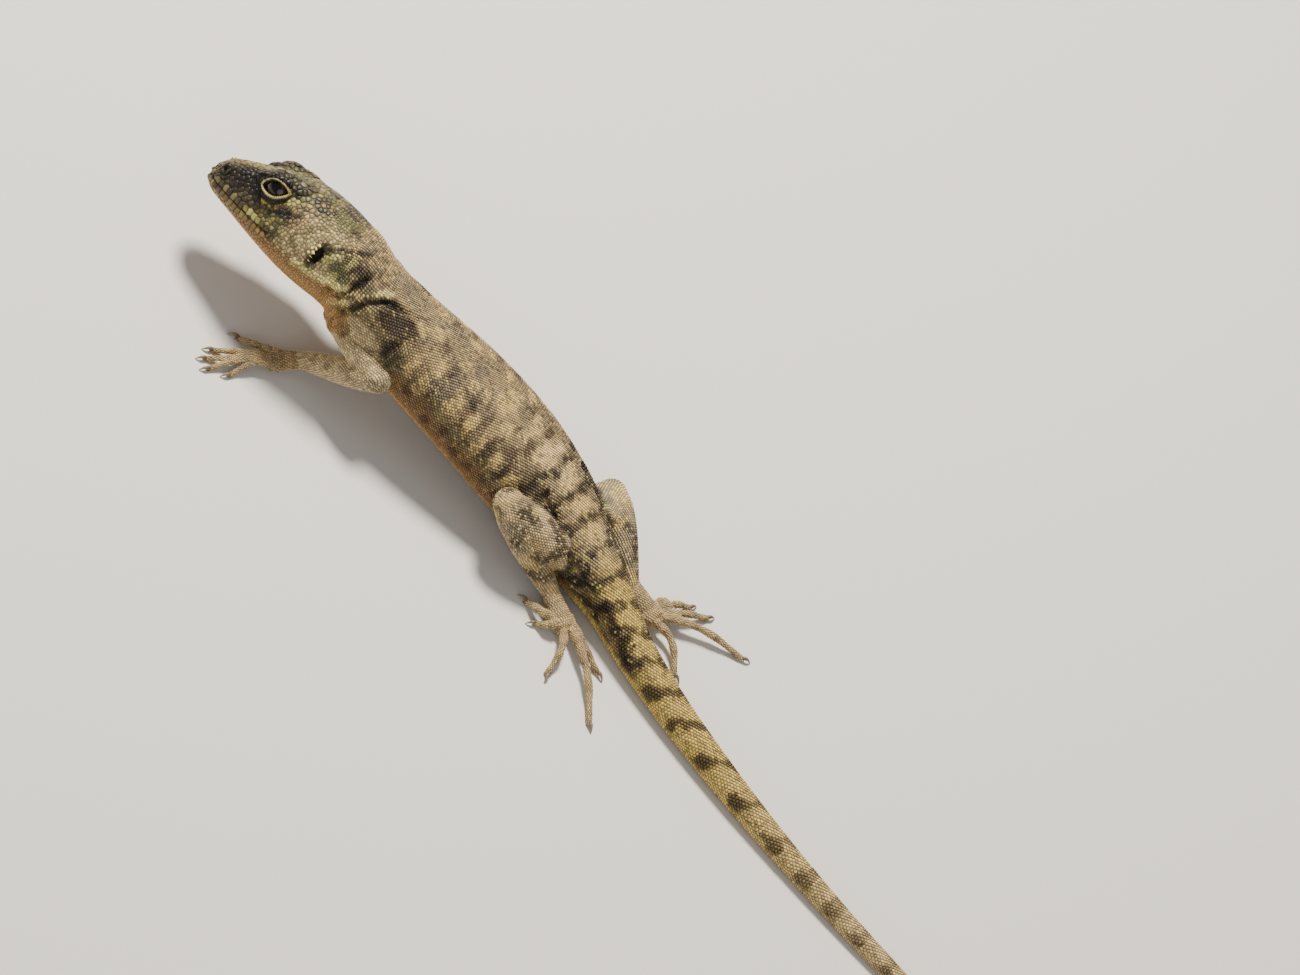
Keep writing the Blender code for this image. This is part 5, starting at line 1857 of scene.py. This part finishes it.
def cover_limb(name, shells, tree, body_coat):
    """Coat of one limb, shell by shell, that keeps clear of the body's."""
    parts = []
    marking = leg_marking if "leg" in name else arm_marking
    for number, (kind, rings) in enumerate(shells):
        width = DIGIT_SCALE if kind == "digit" else LIMB_SCALE
        coat = snapped(*rows_of_scales(rings, lambda share, width=width: width), tree)
        coat = apart(coat, [body_coat] + parts, LIMB_ROOM)
        along, around = coat.unrolled.T
        if kind in ("digit", "palm"):
            coat.colours = digit_marking(coat.places, along)
        else:
            coat.colours = marking(coat.places)
        coat.unrolled = np.stack((along, (number + around) / len(shells)), axis=1)
        parts.append(coat)
    coat = joined(parts)
    coat.colours = blended_at(coat, body_coat)
    return coat


def cover_head(points, tree):
    """Coat of the head's plates."""
    places, widths = scatter_plates(points, tree)
    places, normals, _ = on_skin(tree, places)
    return Coat(places, normals, normals, widths, head_unrolled(in_head(places)),
                head_marking(places))


def nearest_colours(points, coats):
    """Mean colour of the three nearest scales for each point of the skin."""
    whole = joined(coats)
    tree = tree_of(whole.places)
    return np.array([whole.colours[[found[1] for found in tree.find_n(point, 3)]].mean(axis=0)
                     for point in points])


def make_animal():
    """Skin, scales, plates, eyes, lids and claws."""
    limbs = {name: limb_shells(name) for name in LIMBS}
    shells = [BODY.rings, head_rings()]
    shells += [rings for limb, _ in limbs.values() for _, rings in limb]
    for side in SIDES:
        shells.append(brow_ball(side))
        shells.append(ball(eye_centre(side), HEAD_FRAME, (LID_RADIUS - COAT_DEPTH,) * 3))
    mesh, points, normals, tree = make_skin(shells)

    body_coat = cover_body(tree)
    limb_coats = [cover_limb(name, limb, tree, body_coat) for name, (limb, _) in limbs.items()]
    head_coat = cover_head(points, tree)
    body_coat = apart(body_coat, [head_coat], HEAD_ROOM)
    local = in_head(points)
    behind = local[:, 0] < HEAD_BACK
    body_coat, *limb_coats = fill_bare_places(points[behind], normals[behind],
                                              [body_coat, *limb_coats])

    colours = nearest_colours(points, [body_coat, head_coat, *limb_coats])
    # Painted shade: the skin turned black inside the ear openings and nostrils
    colours = layered(colours, (BLACK, in_holes(local)))
    move_points(mesh, settle(points))
    skin = add_piece("skin", mesh, colours, skin_look("skin"))
    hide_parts(*FLESH_NODES)

    scale_look = skin_look("scales")
    add_scales("coat_body", body_coat, scale_look, "body_skin")
    for name, coat in zip(limbs, limb_coats):
        add_scales("coat_" + name, coat, scale_look, "limb_skin")
    add_scales("coat_ear_fringe", ear_fringe(tree), scale_look, "head_skin")
    write_coat("coat_head", *plate_arrays(head_coat), scale_look, "head_skin")

    ball_look = eye_look()
    for name, side in (("left", 1), ("right", -1)):
        eye = make_eye("eyeball_" + name, side, ball_look)
        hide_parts("eye_" + name)
        lid_rim("lid_rim_" + name, side, scale_look)
    claw_look = skin_look("claw")
    for name, (_, claws) in limbs.items():
        make_claws("claws_" + name, claws, claw_look)


def make_floor():
    """Plain pale floor."""
    corners = [(x * FLOOR_HALF, y * FLOOR_HALF, 0) for x, y in ((-1, -1), (1, -1), (1, 1), (-1, 1))]
    mesh = make_mesh("floor", corners, [(0, 1, 2, 3)])
    look, shader, _ = principled("floor", FLOOR_ROUGHNESS)
    shader.inputs["Base Color"].default_value = FLOOR_COLOUR
    mesh.materials.append(look)
    floor = add_object("floor", mesh)


def make_lights():
    """Soft studio light from above, with a larger fill."""
    for name, place, target, size, power, colour in LIGHTS:
        lamp = bpy.data.lights.new(name, "AREA")
        lamp.shape = "DISK"
        lamp.size = size
        lamp.energy = power
        lamp.color = colour
        light = add_object(name, lamp)
        light.location = place
        direction = Vector(target) - Vector(place)
        light.rotation_euler = direction.to_track_quat("-Z", "Y").to_euler()
    world = bpy.data.worlds.new("studio")
    bpy.context.scene.world = world
    world.use_nodes = True
    background = world.node_tree.nodes["Background"]
    background.inputs["Color"].default_value = WORLD_COLOUR
    background.inputs["Strength"].default_value = WORLD_STRENGTH


def make_camera():
    """Camera at the photograph's distance, height and roll."""
    elevation = math.radians(CAMERA_ELEVATION)
    roll = math.radians(CAMERA_ROLL)
    ahead = np.array((0.0, math.cos(elevation), -math.sin(elevation)))
    right = np.array((1.0, 0.0, 0.0))
    up = np.cross(right, ahead)
    across = right * math.cos(roll) + up * math.sin(roll)
    down = right * math.sin(roll) - up * math.cos(roll)
    place = (np.array(ANCHOR_POINT) + SHIFT - ahead * CAMERA_DISTANCE
             - across * ((ANCHOR_PIXEL[0] - PHOTO_WIDTH / 2) / PIXELS_PER_METRE)
             - down * ((ANCHOR_PIXEL[1] - PHOTO_HEIGHT / 2) / PIXELS_PER_METRE))
    data = bpy.data.cameras.new("camera")
    data.sensor_width = SENSOR_WIDTH
    data.lens = PIXELS_PER_METRE * CAMERA_DISTANCE * SENSOR_WIDTH / PHOTO_WIDTH
    data.clip_start = CLIP_START
    data.clip_end = CLIP_END
    camera = add_object("camera", data)
    matrix = np.identity(4)
    matrix[:3] = np.stack((across, -down, -ahead, place), axis=1)
    camera.matrix_world = Matrix(matrix.tolist())
    bpy.context.scene.camera = camera


def main():
    make_camera()
    make_lights()
    make_floor()
    make_animal()


main()
